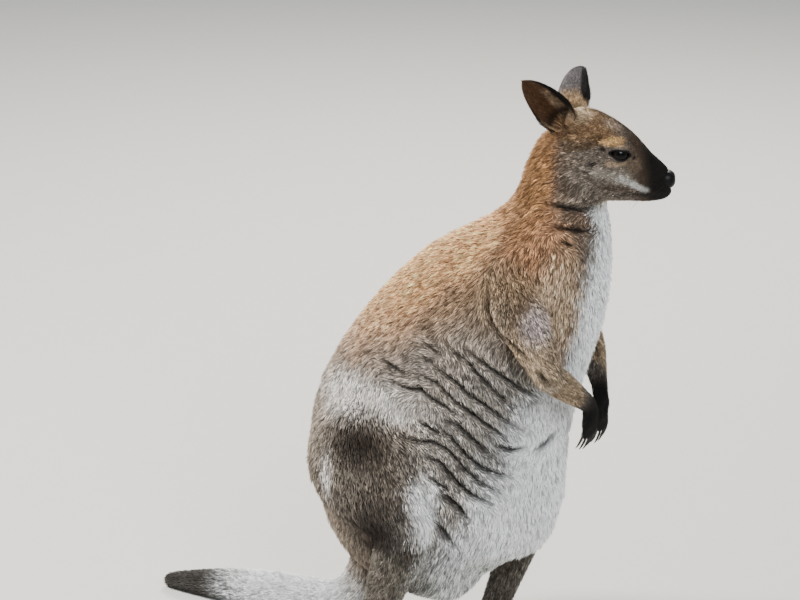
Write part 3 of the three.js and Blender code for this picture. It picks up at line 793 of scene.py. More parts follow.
# skin folds of flank, neck and armpit: where they run in the camera's frame, depth and half breadth in mm
FOLDS = [
    (((388, 381), (404, 388), (420, 390), (434, 401), (446, 408), (457, 416)), 5.0, 2.9),
    (((420, 376), (436, 383), (446, 394), (458, 405), (472, 414), (486, 425), (500, 434), (508, 442)),
     5.5, 2.8),
    (((424, 358), (440, 371), (456, 383), (468, 395), (484, 405), (500, 417), (514, 427), (524, 431)),
     5.0, 2.7),
    (((444, 342), (453, 352), (466, 361), (478, 375), (490, 388), (502, 399), (512, 409)), 4.2, 2.7),
    (((464, 349), (478, 360), (490, 369), (502, 377), (516, 386), (536, 397)), 4.6, 2.7),
    (((422, 341), (432, 350), (442, 357)), 2.6, 2.6),
    (((446, 421), (459, 427), (468, 436), (480, 446), (492, 456)), 5.5, 3.2),
    (((438, 426), (450, 438), (460, 449), (470, 460), (482, 468), (496, 474), (511, 478)), 5.5, 2.9),
    (((402, 437), (416, 441), (432, 443), (446, 449), (456, 459), (464, 470), (480, 483), (500, 494)),
     4.6, 2.8),
    (((426, 457), (440, 463), (450, 475), (460, 487), (474, 497), (492, 505)), 6.0, 3.4),
    (((429, 478), (440, 486), (450, 491)), 3.5, 3.0),
    (((442, 494), (452, 503), (461, 512), (468, 523)), 6.5, 4.6),
    (((498, 447), (512, 451), (526, 449)), 3.5, 3.4),
    (((536, 452), (548, 444), (557, 433)), 3.0, 5.0),
    (((418, 422), (430, 429), (442, 436)), 2.6, 2.6),
    (((380, 358), (392, 367), (406, 375)), 2.2, 2.8),
    (((538, 374), (549, 386)), 3.0, 3.4),
    (((436, 522), (444, 534), (452, 546)), 4.0, 4.0),
    (((548, 203), (562, 208), (578, 210), (592, 208)), 4.5, 3.4),
    (((553, 227), (568, 230), (584, 232), (594, 230)), 4.5, 2.8),
    (((560, 242), (574, 247)), 2.2, 2.6),
    (((488, 296), (487, 310), (492, 322), (502, 336), (516, 350), (530, 362)), 4.5, 3.6),
]
PLAIN_EDGE, LIMB_EDGE, FOLD_EDGE, FACE_EDGE = 4.0, 2.6, 2.0, 1.7  # length of the skin's edges in mm
FOLD_STEP = 7.0  # gap in the frame between the places where a fold is laid on the skin
FOLD_DEEPER, FOLD_WIDER = 1.35, 1.32
FOLD_REACH = 12.0  # how far from a fold the coat lies lower and runs along it
NECK_FROM, LEFT_FOLDS_FROM = 560, 330  # heights
FOLD_RUNS = []  # where the folds came to lie on the skin, kept for the coat


def lay_folds(tree):
    """Lays each fold on the right side of the skin and repeats it, a little shifted, on the left."""
    for index, (spots, depth, half) in enumerate(FOLDS):
        spots = [np.array(spot, float) for spot in spots]
        close = [spots[0]]
        for a, b in zip(spots, spots[1:]):
            steps = max(1, round(float(np.linalg.norm(b - a)) / FOLD_STEP))
            close += [a + (b - a) * (k + 1) / steps for k in range(steps)]
        run = on_skin(tree, close)
        if len(run) > 1:
            FOLD_RUNS.append((run, np.zeros((len(run), 3)), depth, half))
        shift = (30 + 4 * math.sin(index * 2.1), 0, 26 + 4 * math.cos(index))
        if min(p[2] for p in run) > NECK_FROM:  # the neck's folds need no shift past the forward thigh
            shift = (4, 8, 3 * math.cos(index))
        other = [p * (1, -1, 1) + shift for p in run]
        other = [p for p in other if p[2] > LEFT_FOLDS_FROM]
        if len(other) > 3:
            FOLD_RUNS.append((other, np.zeros((len(other), 3)), depth, half))


def settle_folds(tree):
    """Draws the folds down on to the skin once it has been set in by the depth of the coat, and keeps which
    way is out of the skin at each place."""
    for number, (run, _, depth, half) in enumerate(FOLD_RUNS):
        found = [tree.find_nearest(Vector(to_metres(p))) for p in run]
        out = sum(np.array(hit[1]) for hit in found) / len(found) + np.array([hit[1] for hit in found])
        out /= np.linalg.norm(out, axis=1, keepdims=True)
        FOLD_RUNS[number] = ([(np.array(hit[0]) - ORIGIN) / MM for hit in found], out, depth, half)


def fold_field(points):
    """For each point: depth of the groove there and height of the roll beside it in mm, how deep in a groove
    it is (0 to 1), how near to any fold (0 to 1), the way the folds run, and the gap to the nearest in mm."""
    count = len(points)
    groove, roll, inside, gap_least = np.zeros(count), np.zeros(count), np.zeros(count), np.full(count, 1e3)
    way = np.zeros((count, 3))
    for run, out, depth, half in FOLD_RUNS:
        depth, half = depth * FOLD_DEEPER, half * FOLD_WIDER
        corners = np.array(run)
        low, high = corners.min(0) - 2.2 * FOLD_REACH, corners.max(0) + 2.2 * FOLD_REACH
        here = np.flatnonzero(np.all((points > low) & (points < high), axis=1))
        if len(here) == 0:
            continue
        near = points[here]
        best, share, tangent = np.full(len(here), 1e3), np.zeros(len(here)), np.zeros((len(here), 3))
        for k, (a, b) in enumerate(zip(run, run[1:])):
            ab = b - a
            part = np.clip((near - a) @ ab / (ab @ ab + 1e-9), 0, 1)
            off = near - (a + part[:, None] * ab)
            high = off @ out[k]
            gap = np.sqrt(np.maximum((off**2).sum(1) - high**2 * (np.abs(high) < 16), 0))
            closer = gap < best
            best[closer], share[closer] = gap[closer], (k + part[closer]) / (len(run) - 1)
            tangent[closer] = ab / (np.linalg.norm(ab) + 1e-9)
        taper = np.sin(np.clip(share, 0.03, 0.97) * math.pi) ** 0.45
        sunk = taper * np.exp(-((best / (half * 0.8)) ** 2))
        groove[here] = np.maximum(groove[here], depth * sunk)
        inside[here] = np.maximum(inside[here], taper * np.exp(-((best / (half * 0.95)) ** 2)))
        beside = 0.28 * depth * taper * np.exp(-(((best - half * 1.9) / half) ** 2))
        roll[here] = np.maximum(roll[here], beside)
        way[here] += np.exp(-best / 5.0)[:, None] * tangent
        gap_least[here] = np.minimum(gap_least[here], best)
    return groove, roll, inside, np.exp(-((gap_least / FOLD_REACH) ** 2)), unit_rows(way), gap_least


def painted_fold_shading(points):
    """Share of the coat's colour left in the folds: painted shade down in them, painted highlight on the
    rolls.
    """
    _, roll, inside, *_ = fold_field(points)
    return (1 - 0.9 * inside) * (1 + 0.24 * roll)


def eye_axes(side):
    """Axes of one eye's opening: along it towards the nose, up across it, and outwards."""
    out = SIGN[side] * HEAD_S + 0.12 * HEAD_F + 0.10 * HEAD_T
    out /= np.linalg.norm(out)
    along = HEAD_F - 0.10 * HEAD_T
    along -= (along @ out) * out
    along /= np.linalg.norm(along)
    up = np.cross(out, along) * SIGN[side] * -1
    if up[2] < 0:
        up = -up
    return along, up, out


def eye_coords(points, side):
    """Along one eye's opening, up across it and outwards, in mm from the middle of the ball."""
    q = points - EYE[side]
    return (q @ axis for axis in eye_axes(side))


def almond(u, v):
    """Signed distance in mm outside the opening between the lids (negative inside)."""
    half, rise, drop, _ = lids()
    x = np.clip(u / half, -1, 1)
    top = rise * (1 - np.abs(x) ** 4.0) ** 0.7
    low = -drop * (1 - np.abs(x - 0.12 * (1 - x * x)) ** 2.0) ** 0.85
    inside = np.minimum(top - v, v - low)
    ends = np.abs(u) - half
    return np.where(ends > 0, np.hypot(np.maximum(ends, 0), v), -inside)


def sculpt_eyes(points):
    """Lays the lids over each ball, with a rolled rim, a heavy upper lid and its crease."""
    thick = lids()[3]
    for side in SIGN:
        u, v, w = eye_coords(points, side)
        r = np.hypot(u, v)
        near = (r < 26) & (w > -16)
        d = almond(u, v)
        dome = EYE_RADIUS + thick
        rim = dome - 2.4
        lid = np.sqrt(np.maximum(dome**2 - np.minimum(r, rim) ** 2, 0)) - 0.5 * np.maximum(r - rim, 0)
        lid = lid + 0.6 * np.exp(-(((d - 1.2) / 1.1) ** 2)) * smooth(-0.3, 0.6, d)
        lid = lid + 1.4 * np.exp(-(((v - 6.8) / 2.0) ** 2)) * (1 - smooth(8, 13, np.abs(u)))
        lid = lid - 0.4 * np.exp(-(((v - 9.8) / 1.4) ** 2)) * (1 - smooth(6, 12, np.abs(u)))
        lid = lid - 0.6 * np.exp(-(((v + 9.8) / 1.1) ** 2)) * (1 - smooth(6, 13, np.abs(u)))
        ball = np.sqrt(np.maximum(EYE_RADIUS**2 - np.minimum(r, EYE_RADIUS - 0.4) ** 2, 0)) - 2.6
        target = ball + (lid - ball) * smooth(-1.1, 0.15, d)
        points = points + ((target - w) * (1 - smooth(3.0, 10.5, d)) * near)[:, None] * eye_axes(side)[2]
    return points


MOUTH = [(0, 27, -45), (12, 25, -48.5), (27, 20, -52), (40, 17.5, -54), (54, 13, -55.5), (64, 5, -56),
         (66, 0, -56)]


def sculpt_face(points, normals):
    f, s, t = head_coords(points)
    fst = points_fst(f, np.abs(s), t)
    push = np.zeros(len(points))
    for path, height, half in (
        (MOUTH, -2.2, 1.3),
        ([(10, 27, -43), (30, 21, -47.5), (44, 19, -49.5), (56, 14, -51)], 1.3, 4.0),  # upper lip
        ([(70, 0, -46), (68, 0, -51), (66, 0, -56)], -1.2, 1.4),  # groove under the nose
        ([(20, 28, 2), (34, 20, -14)], -1.6, 6.5),  # hollow in front of the eye
        ([(-12, 30, 15), (6, 29, 14)], 1.2, 5.0),  # brow
        ([(52, 15, -38), (60, 13, -38)], -1.8, 6.0),  # bed of the nose pad
        ([(46, 0, -24), (56, 0, -30)], 1.6, 6.0),  # bridge, level with the top of the nose pad
        ([(-22, 34, -30), (-8, 33, -36)], 1.8, 13.0),  # cheek
        ([(4, 28, -30), (24, 22, -42), (36, 18, -48)], 0.8, 4.0),  # pale stripe, thicker haired
        ([(-6, 25, -52), (20, 20, -56), (44, 15, -58)], 0.9, 4.0),  # jaw's edge
    ):
        push += height * np.exp(-((distance_to(fst, path)[0] / half) ** 2))
    for row in range(4):  # the rows that the whiskers grow from
        high = -36.5 - row * 3.6
        push += 0.45 * np.exp(-((ribbon_gap(fst, high) / 1.0) ** 2))
    return points + normals * (push * smooth(-60, -50, f))[:, None]


def ribbon_gap(fst, high):
    return distance_to(fst, [(36, 19.5, high - 2), (50, 17, high), (60, 12, high + 1)])[0]


def rim_tone(points, tone):
    """Bare black skin round the opening of each eye."""
    for side in SIGN:
        u, v, w = eye_coords(points, side)
        near = (np.hypot(u, v) < 24) & (w > -12)
        d = almond(u, v) - 1.4 * smooth(8, 13, np.abs(u)) - 0.9 * smooth(1, 5, v)
        tone = blend(tone, "#0d0b0a", near * (1 - smooth(0.8, 1.8, d)))
    return tone


def eye_gap(points):
    """Distance to the nearer of two places 6 mm out from the middles of the eyes."""
    outward = {side: SIGN[side] * HEAD_S * 6 for side in SIGN}
    return np.min([np.linalg.norm(points - EYE[side] - outward[side], axis=1) for side in SIGN], axis=0)


def group_of(belongs, *starts):
    """Which points lie nearest to a line of the coat whose name begins with one of these words."""
    return np.isin(belongs, [k for k, name in enumerate(LINES) if name.startswith(starts)])


class WALLABY_OT_skin(bpy.types.Operator):
    """One skin over every fleshy part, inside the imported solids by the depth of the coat"""

    bl_idname = "wallaby.skin"
    bl_label = "Skin"

    def execute(self, context):
        body, ears = [], []
        for name in FLESH:
            piece = copy_of_node(name)
            swell = EAR_FILL if name.startswith("ear") else SEAM_FILL
            write_points(piece, read_points(piece) + read_normals(piece) * swell)
            (ears if name.startswith("ear") else body).append(piece)
        skin = voxel_remesh(join(body, "skin"), sizes().skin_voxel / MM)
        points = read_points(skin)
        _, belongs, _, _ = follow(points)
        soft = np.where(group_of(belongs, "face", "jaw"), 0.35, 0.6)
        soft[group_of(belongs, "hand", "foot")] = 0.12
        points = relax(points, read_edges(skin), soft, 16)
        x, y, z = points.T
        hang = (1 - smooth(112, 184, z)) * smooth(95, 150, x) * (1 - smooth(58, 92, np.abs(y)))
        points[:, 2] += BELLY_LIFT * hang
        points[:, 0] -= BELLY_BACK * hang
        write_points(skin, points)
        lay_folds(bvh_of(skin))
        self.thin(skin)
        points, edges = read_points(skin), read_edges(skin)
        points = relax(points, edges, 0.25, 2)
        write_points(skin, points)
        inward = read_normals(skin)
        for _ in range(3):
            inward = unit_rows(relax(inward, edges, 0.6, 3))
        looks = follow(points)[3]
        near_fold = fold_field(points)[3]
        points = points - inward * looks[:, :1] * (SET_IN * (1 - 0.5 * near_fold))[:, None]
        points = relax(points, edges, 0.2, 2)
        write_points(skin, points)
        settle_folds(bvh_of(skin))
        groove, roll, *_ = fold_field(points)
        write_points(skin, points + inward * (roll - groove)[:, None])
        self.refine(skin)
        ear_skin = voxel_remesh(join(ears, "ears"), sizes().ear_voxel / MM)
        write_points(ear_skin, relax(read_points(ear_skin), read_edges(ear_skin), 0.5, 8))
        skin = join([skin, ear_skin], "skin")
        shade_smooth(skin)
        points = read_points(skin)
        tone = ear_tone(points, read_normals(skin), rim_tone(points, coat_tone(points)))
        # painted shade of the folds and painted highlight of the rolls on the skin's colour
        tone = tone * (UNDERFUR * painted_fold_shading(points))[:, None]
        colour_layer(skin.data, "coat_tone", tone)
        skin.data.materials.clear()
        skin.data.materials.append(skin_material())
        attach(skin, "root")
        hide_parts(*FLESH)
        return {"FINISHED"}

    def thin(self, skin):
        """Takes faces away evenly, down to the edge length that each part needs: a point's weight w makes
        edges there settle at a length in proportion to 1 / (1 - w)."""
        guard = skin.vertex_groups.new(name="coarse")
        points = read_points(skin)
        _, belongs, _, _ = follow(points)
        edge = np.full(len(points), PLAIN_EDGE)
        edge[group_of(belongs, "hand", "foot")] = LIMB_EDGE
        edge[fold_field(points)[5] < 8] = FOLD_EDGE
        edge[group_of(belongs, "face", "jaw") & (head_coords(points)[0] > -45)] = FACE_EDGE
        keep = 1 - 1 / edge
        for value in np.unique(keep):
            guard.add(np.flatnonzero(keep == value).tolist(), float(value), "REPLACE")
        thin = skin.modifiers.new("thin", "DECIMATE")
        thin.ratio = min(1.0, sizes().skin_triangles / (len(skin.data.polygons) * 2))
        thin.vertex_group = guard.name
        activate(skin)
        bpy.ops.object.modifier_apply(modifier=thin.name)
        skin.vertex_groups.clear()

    def divide(self, skin, chosen):
        """Divides each face between the chosen points in four."""
        select_vertices(skin, chosen)
        bpy.ops.mesh.subdivide(number_cuts=1)
        bpy.ops.mesh.select_all(action="SELECT")
        bpy.ops.mesh.quads_convert_to_tris()
        bpy.ops.object.mode_set(mode="OBJECT")

    def refine(self, skin):
        """Divides the skin round the eyes and mouth more finely, then shapes lids, lips and muzzle."""
        points = read_points(skin)
        f, _, t = head_coords(points)
        muzzle = (f > 26) & (t < -30) & (f < 76) & (t > -72)
        self.divide(skin, (eye_gap(points) < 22) | muzzle)
        self.divide(skin, eye_gap(read_points(skin)) < 15)
        points = read_points(skin)
        near = 1 - smooth(16, 22, eye_gap(points))
        write_points(skin, relax(points, read_edges(skin), near * 0.4, 6))
        write_points(skin, sculpt_face(read_points(skin), read_normals(skin)))
        write_points(skin, sculpt_eyes(read_points(skin)))


def select_vertices(obj, chosen):
    """Opens edit mode with just these vertices, and the faces between them, selected."""
    activate(obj)
    bpy.ops.object.mode_set(mode="EDIT")
    bpy.ops.mesh.select_mode(type="VERT")
    bpy.ops.mesh.select_all(action="DESELECT")
    bpy.ops.object.mode_set(mode="OBJECT")
    obj.data.vertices.foreach_set("select", np.asarray(chosen, bool))
    bpy.ops.object.mode_set(mode="EDIT")


def bvh_of(obj):
    return BVHTree.FromObject(obj, bpy.context.evaluated_depsgraph_get())


# ---------------------------------------------------------------------------------------------------------
# Ears
# ---------------------------------------------------------------------------------------------------------

EAR = {
    "right": {"root": head_point(-57, -22, 27), "tip": head_point(-115, -54, 94),
              "open": 0.05 * HEAD_F - 1.0 * HEAD_S + 0.10 * HEAD_T},
    "left": {"root": head_point(-51, 22, 32), "tip": head_point(-45.5, 69, 83),
             "open": 0.45 * HEAD_F + 0.8 * HEAD_S - 0.10 * HEAD_T},
}
EAR_HALF = 23.5


def ear_coords(points, side):
    """Along the ear from root (0) to tip (1), across it and out of its opening in mm, and its opening."""
    root, tip, opening = (EAR[side][k] for k in ("root", "tip", "open"))
    axis = tip - root
    length = np.linalg.norm(axis)
    axis = axis / length
    opening = unit(opening - (opening @ axis) * axis)
    q = points - root
    return q @ axis / length, q @ np.cross(axis, opening), q @ opening, opening


def on_ear(points):
    """Which points are on each ear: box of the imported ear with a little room."""
    found = {}
    for side in SIGN:
        low, high = (np.array(c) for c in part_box(f"ear_{side}"))
        low, high = (low - ORIGIN) / MM - 1.0, (high - ORIGIN) / MM + 1.0
        inside = np.all((points > low) & (points < high), axis=1)
        found[side] = inside & (ear_coords(points, side)[0] > 0.02)
    return found


def ear_tone(points, normals, tone):
    for side, chosen in on_ear(points).items():
        share, across, _, opening = ear_coords(points[chosen], side)
        ahead = across * -SIGN[side]  # towards the ear's front edge
        facing = normals[chosen] @ opening
        half = EAR_HALF * np.clip(1 - np.clip(share, 0, 1) ** 2.6, 0.02, 1) ** 0.65
        back = np.tile(colour("ear_back"), (chosen.sum(), 1))
        back = blend(back, "#93795a", 1 - smooth(0.12, 0.42, share))
        back = blend(back, "#2b2828", smooth(0.7, 1.0, share))
        inner = np.tile(colour("ear_inside"), (chosen.sum(), 1))
        inner = blend(inner, "#1a120d", 1 - smooth(0.12, 0.3, share))
        inner = blend(inner, "#8d7a63", 0.4 * smooth(2, 7, ahead) * (1 - smooth(13, 17, ahead))
                      * smooth(0.16, 0.26, share) * (1 - smooth(0.5, 0.7, share)))
        own = back + (inner - back) * smooth(-0.1, 0.35, facing)[:, None]
        free = smooth(0.1, 0.24, share)
        own = blend(own, "soot", smooth(0.62, 0.78, ahead / half) * free)
        own = blend(own, "soot", smooth(0.78, 0.92, -ahead / half) * free * smooth(-0.4, 0.1, facing))
        tone[chosen] = tone[chosen] + (own - tone[chosen]) * smooth(0.03, 0.16, share)[:, None]
    return tone


# ---------------------------------------------------------------------------------------------------------
# Eyes, nose, claws
# ---------------------------------------------------------------------------------------------------------


def turned_sphere(name, segments, rings, radius, centre, axis):
    """A ball whose pole looks along an axis."""
    clear_selection()
    bpy.ops.mesh.primitive_uv_sphere_add(
        segments=segments, ring_count=rings, radius=radius * MM, location=(0, 0, 0))
    ball = bpy.context.object
    ball.name = name
    turn = Vector((0, 0, 1)).rotation_difference(Vector(axis)).to_matrix()
    ball.data.transform(turn.to_4x4())
    ball.data.transform(Matrix.Translation(Vector(to_metres(centre))))
    return ball


def eye_material():
    """A living eye: near-black brown iris under a wet, clear cornea."""
    material, tree, shader = new_material("wet_cornea_over_dark_iris")
    tone = add_node(tree, "ShaderNodeAttribute", {"attribute_name": "coat_tone"})
    tree.links.new(tone.outputs["Color"], shader.inputs["Base Color"])
    set_inputs(shader, {"Roughness": 0.05, "IOR": 1.376, "Specular IOR Level": 0.14,
                        "Coat Weight": 0.12, "Coat Roughness": 0.02})
    return material


class WALLABY_OT_eyes(bpy.types.Operator):
    """Two dark eyes of real size, each a ball with its cornea, iris and pupil"""

    bl_idname = "wallaby.eyes"
    bl_label = "Eyes"

    def execute(self, context):
        for side in SIGN:
            along, up, out = eye_axes(side)
            eye = turned_sphere(f"eyeball_{side}", 64, 40, EYE_RADIUS - 0.15, EYE[side], out)
            points = read_points(eye)
            q = points - EYE[side]
            radial = q / np.linalg.norm(q, axis=1, keepdims=True)
            off = np.degrees(np.arccos(np.clip(radial @ out, -1, 1)))
            points = points + radial * (0.55 * (1 - smooth(22, 50, off)))[:, None]
            write_points(eye, points)
            u, v = q @ along, q @ up
            pupil = 1 - smooth(0.85, 1.15, np.hypot(u / 5.6, v / 4.2))
            tone = np.tile(colour("iris"), (len(points), 1))
            tone = blend(tone, "#080504", smooth(6.6, 9.0, np.hypot(u, v)))
            tone = blend(tone, "#020202", pupil)
            tone = blend(tone, "#7d6246", smooth(6.6, 7.6, v))  # the part of the ball under the brow
            colour_layer(eye.data, "coat_tone", tone)
            eye.data.materials.append(eye_material())
            shade_smooth(eye)
            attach(eye, "root")
            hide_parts(f"eye_{side}")
        return {"FINISHED"}


NOSE_AT = head_point(58.0, 0, -37.2)
NOSE_RADII = (10.6, 12.8, 11.2)  # forward, sideways and up
NOSE_BOXY = 0.86  # 1 for an ellipsoid, less for a squarer pad
NOSE_BARE = 12.6  # no hair grows nearer to the middle of the pad


class WALLABY_OT_nose(bpy.types.Operator):
    """The bare nose pad with its comma nostrils and the groove below it"""

    bl_idname = "wallaby.nose"
    bl_label = "Nose"

    def execute(self, context):
        nose = turned_sphere("nose_pad", 96, 64, 1.0, np.zeros(3), HEAD_F)
        unit = read_points(nose)
        f, s, t = unit @ HEAD_F, unit @ HEAD_S, unit @ HEAD_T
        shape = [np.sign(c) * np.abs(c) ** NOSE_BOXY for c in (f, s, t)]
        points = NOSE_AT
        for radius, part, axis in zip(NOSE_RADII, shape, (HEAD_F, HEAD_S, HEAD_T)):
            points = points + part[:, None] * radius * axis
        lf, ls, lt = ((points - NOSE_AT) @ axis for axis in (HEAD_F, HEAD_S, HEAD_T))
        out = unit / np.linalg.norm(unit, axis=1, keepdims=True)
        w = np.abs(ls)
        fst = points_fst(lf, w, lt)
        push = np.zeros(len(points))
        nostril, share = distance_to(
            fst, [(8.2, 3.6, 1.6), (7.2, 5.6, 2.4), (5.2, 7.6, 1.4), (2.2, 8.8, -0.8)])
        push -= 3.4 * np.exp(-((nostril / (1.5 - 0.5 * share)) ** 2))
        wing, _ = distance_to(fst, [(8.0, 4.4, 5.0), (5.4, 7.6, 4.6), (2.0, 9.2, 2.4)])
        push += 0.7 * np.exp(-((wing / 1.8) ** 2))
        push -= np.exp(-((w / 0.9) ** 2)) * smooth(0.0, 4.0, lf) * (1 - smooth(-1, 4, lt))  # middle groove
        push += 0.10 * waves(points, 1.6, 5)
        write_points(nose, points + out * push[:, None])
        nose.data.materials.append(plain_material(
            "moist_nose_leather", colour("nose"), 0.4, shine=0.14, grain=1400.0, depth=0.0004, variation=0.3))
        shade_smooth(nose)
        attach(nose, "root")
        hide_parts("nose")
        return {"FINISHED"}


CLAW_ROOTS = {"finger": 8.0, "toe": 3.5}  # how far each claw is drawn back into its finger or toe, in mm


class WALLABY_OT_claws(bpy.types.Operator):
    """Claws of horn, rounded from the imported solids"""

    bl_idname = "wallaby.claws"
    bl_label = "Claws"

    def execute(self, context):
        horn = plain_material(
            "claw_horn", colour("horn"), 0.42, shine=0.35, grain=500.0, depth=0.0001, variation=0.3)
        for name in CLAWS:
            claw = copy_of_node(name)
            claw.name = f"horn_{name}"
            points = read_points(claw)
            middle_of = points.mean(axis=0)
            way = np.linalg.svd(points - middle_of, full_matrices=False)[2][0]
            side = name.rsplit("_", 1)[1]
            home = np.array(LIMBS[side]["knuckle" if name.startswith("finger") else "ankle"], float)
            way = way * np.sign(way @ (home - middle_of))
            back = (points - middle_of) @ way
            rooted = smooth(-0.2, 0.6, back / back.max())
            reach = CLAW_ROOTS["finger" if name.startswith("finger") else "toe"]
            write_points(claw, points + way * (rooted * reach)[:, None])
            round_off = claw.modifiers.new("round", "SUBSURF")
            round_off.levels = round_off.render_levels = 1
            activate(claw)
            bpy.ops.object.modifier_apply(modifier=round_off.name)
            bpy.ops.object.shade_smooth()
            claw.data.materials.append(horn)
            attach(claw, "root")
            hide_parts(name)
        return {"FINISHED"}


# ---------------------------------------------------------------------------------------------------------
# Coat
# ---------------------------------------------------------------------------------------------------------

PATCH = 0.0015  # half the breadth of a tuft's patch in its map
EAR_SIDES_APART = 60  # keeps the inside of an ear clear of its back in the map
EAR_SPACING = 1.3
OVERLAP = 0.62  # roots are first strewn this much closer than they are kept
CELL_STEP = 1.12  # ratio of one size of cell to the next, for keeping one root in each
CLOSE_MIX, WIDE_MIX = 0.9, 3.4  # how far colours mix between tufts: on face and limbs, and elsewhere
LOCK_SIZE = 5  # tufts drawn together into one lock
ROOT_DEPTH = 0.5  # how far a tuft starts under the skin
LEAST_HEIGHT = 0.25  # no hair comes nearer to the floor than this
LIGHTEST = 0.87


def scatter(skin, seed):
    """Roots on the skin: place and normal, spaced by the coat's own spacing there."""
    rng = np.random.default_rng(seed)
    mesh = skin.data
    mesh.calc_loop_triangles()
    tris = np.empty(len(mesh.loop_triangles) * 3, np.int32)
    mesh.loop_triangles.foreach_get("vertices", tris)
    tris = tris.reshape(-1, 3)
    points, normals = read_points(skin), read_normals(skin)
    a, b, c = (points[tris[:, i]] for i in range(3))
    area = np.linalg.norm(np.cross(b - a, c - a), axis=1) / 2
    _, _, _, looks = follow((a + b + c) / 3)
    spacing = looks[:, 3]
    for chosen in on_ear((a + b + c) / 3).values():
        spacing = np.where(chosen, EAR_SPACING, spacing)
    spacing = spacing * sizes().spacing
    wanted = area / (spacing * OVERLAP) ** 2
    count = np.floor(wanted + rng.random(len(wanted))).astype(int)
    which = np.repeat(np.arange(len(tris)), count)
    r1, r2 = np.sqrt(rng.random(len(which))), rng.random(len(which))
    k = np.stack([1 - r1, r1 * (1 - r2), r1 * r2], axis=1)
    corner = tris[which]
    root = np.einsum("ij,ijk->ik", k, points[corner])
    normal = unit_rows(np.einsum("ij,ijk->ik", k, normals[corner]))
    gap = spacing[which]
    level = np.round(np.log(gap) / math.log(CELL_STEP)).astype(int)
    cell = np.floor(root / (CELL_STEP**level)[:, None]).astype(np.int64)
    key = ((cell[:, 0] * 8191 + cell[:, 1]) * 8191 + cell[:, 2]) * 64 + level
    _, first = np.unique(key, return_index=True)
    first.sort()
    return root[first], normal[first]


def coat_direction(root, normal, direction, near_fold, fold_way, rng):
    """Where each tuft points: the lie of the coat along the skin and its folds, a little unruly."""
    fold_way = fold_way * np.sign((fold_way * direction).sum(1, keepdims=True) + 1e-9)
    direction = direction + (fold_way - direction) * (0.92 * near_fold)[:, None]
    for side, chosen in on_ear(root).items():
        direction[chosen] = unit(EAR[side]["tip"] - EAR[side]["root"])
    flat = direction - (direction * normal).sum(1, keepdims=True) * normal
    short = np.linalg.norm(flat, axis=1) < 0.15
    flat[short] = DOWN - normal[short] * -normal[short][:, 2:3]
    flat = unit_rows(flat)
    side_way = np.cross(normal, flat)
    turn = rng.normal(0, 0.13, len(root)) + 0.10 * waves(root, 38, 21) + 0.10 * waves(root, 13, 22)
    turn = turn * (1 - 0.6 * near_fold)
    return flat * np.cos(turn)[:, None] + side_way * np.sin(turn)[:, None]


def clump(root, tip, rng, size, pull):
    """Draws the tips of neighbouring tufts together into locks; returns the tips and each lock's number."""
    heads = rng.choice(len(root), max(1, len(root) // size), replace=False)
    tree = KDTree(len(heads))
    for number, head in enumerate(heads):
        tree.insert(root[head], number)
    tree.balance()
    owner = np.fromiter((tree.find(p)[1] for p in root), int, len(root))
    goal = tip[heads][owner]
    return tip + (goal - tip) * pull[:, None], owner


def eyelid_gap(points):
    """How far each point is outside the opening of the nearer eye, in mm, large away from the eyes."""
    gap = np.full(len(points), 99.0)
    for side in SIGN:
        u, v, w = eye_coords(points, side)
        near = (np.linalg.norm(points - EYE[side], axis=1) < 26) & (w > -14)
        gap = np.where(near, np.minimum(gap, almond(u, v)), gap)
    return gap


def around(points, path, reference):
    """Unwraps points round a path: share along it and angle about it from a reference direction."""
    path = [np.array(p, float) for p in path]
    lengths = np.array([np.linalg.norm(b - a) for a, b in zip(path, path[1:])])
    starts = np.concatenate([[0], np.cumsum(lengths)])
    best = np.full(len(points), 1e9)
    share, angle = np.zeros(len(points)), np.zeros(len(points))
    for k, (a, b) in enumerate(zip(path, path[1:])):
        way = (b - a) / lengths[k]
        raw = (points - a) @ way / lengths[k]
        t = np.clip(raw, 0, 1)
        off = points - (a + t[:, None] * (b - a))
        gap = np.linalg.norm(off, axis=1)
        first = reference - (reference @ way) * way
        first /= np.linalg.norm(first)
        second = np.cross(way, first)
        near = gap < best
        best[near] = gap[near]
        stretch = raw if k in (0, len(lengths) - 1) else t
        share[near] = starts[k] + stretch[near] * lengths[k]
        angle[near] = np.arctan2(off[near] @ second, off[near] @ first)
    return share, angle


TRUNK_AXIS = [(60, 0, 60), (62, 0, 170), (66, 0, 300), (100, 0, 400), (150, 0, 490), (200, 0, 560),
              (236, 0, 640), (250, 0, 720)]


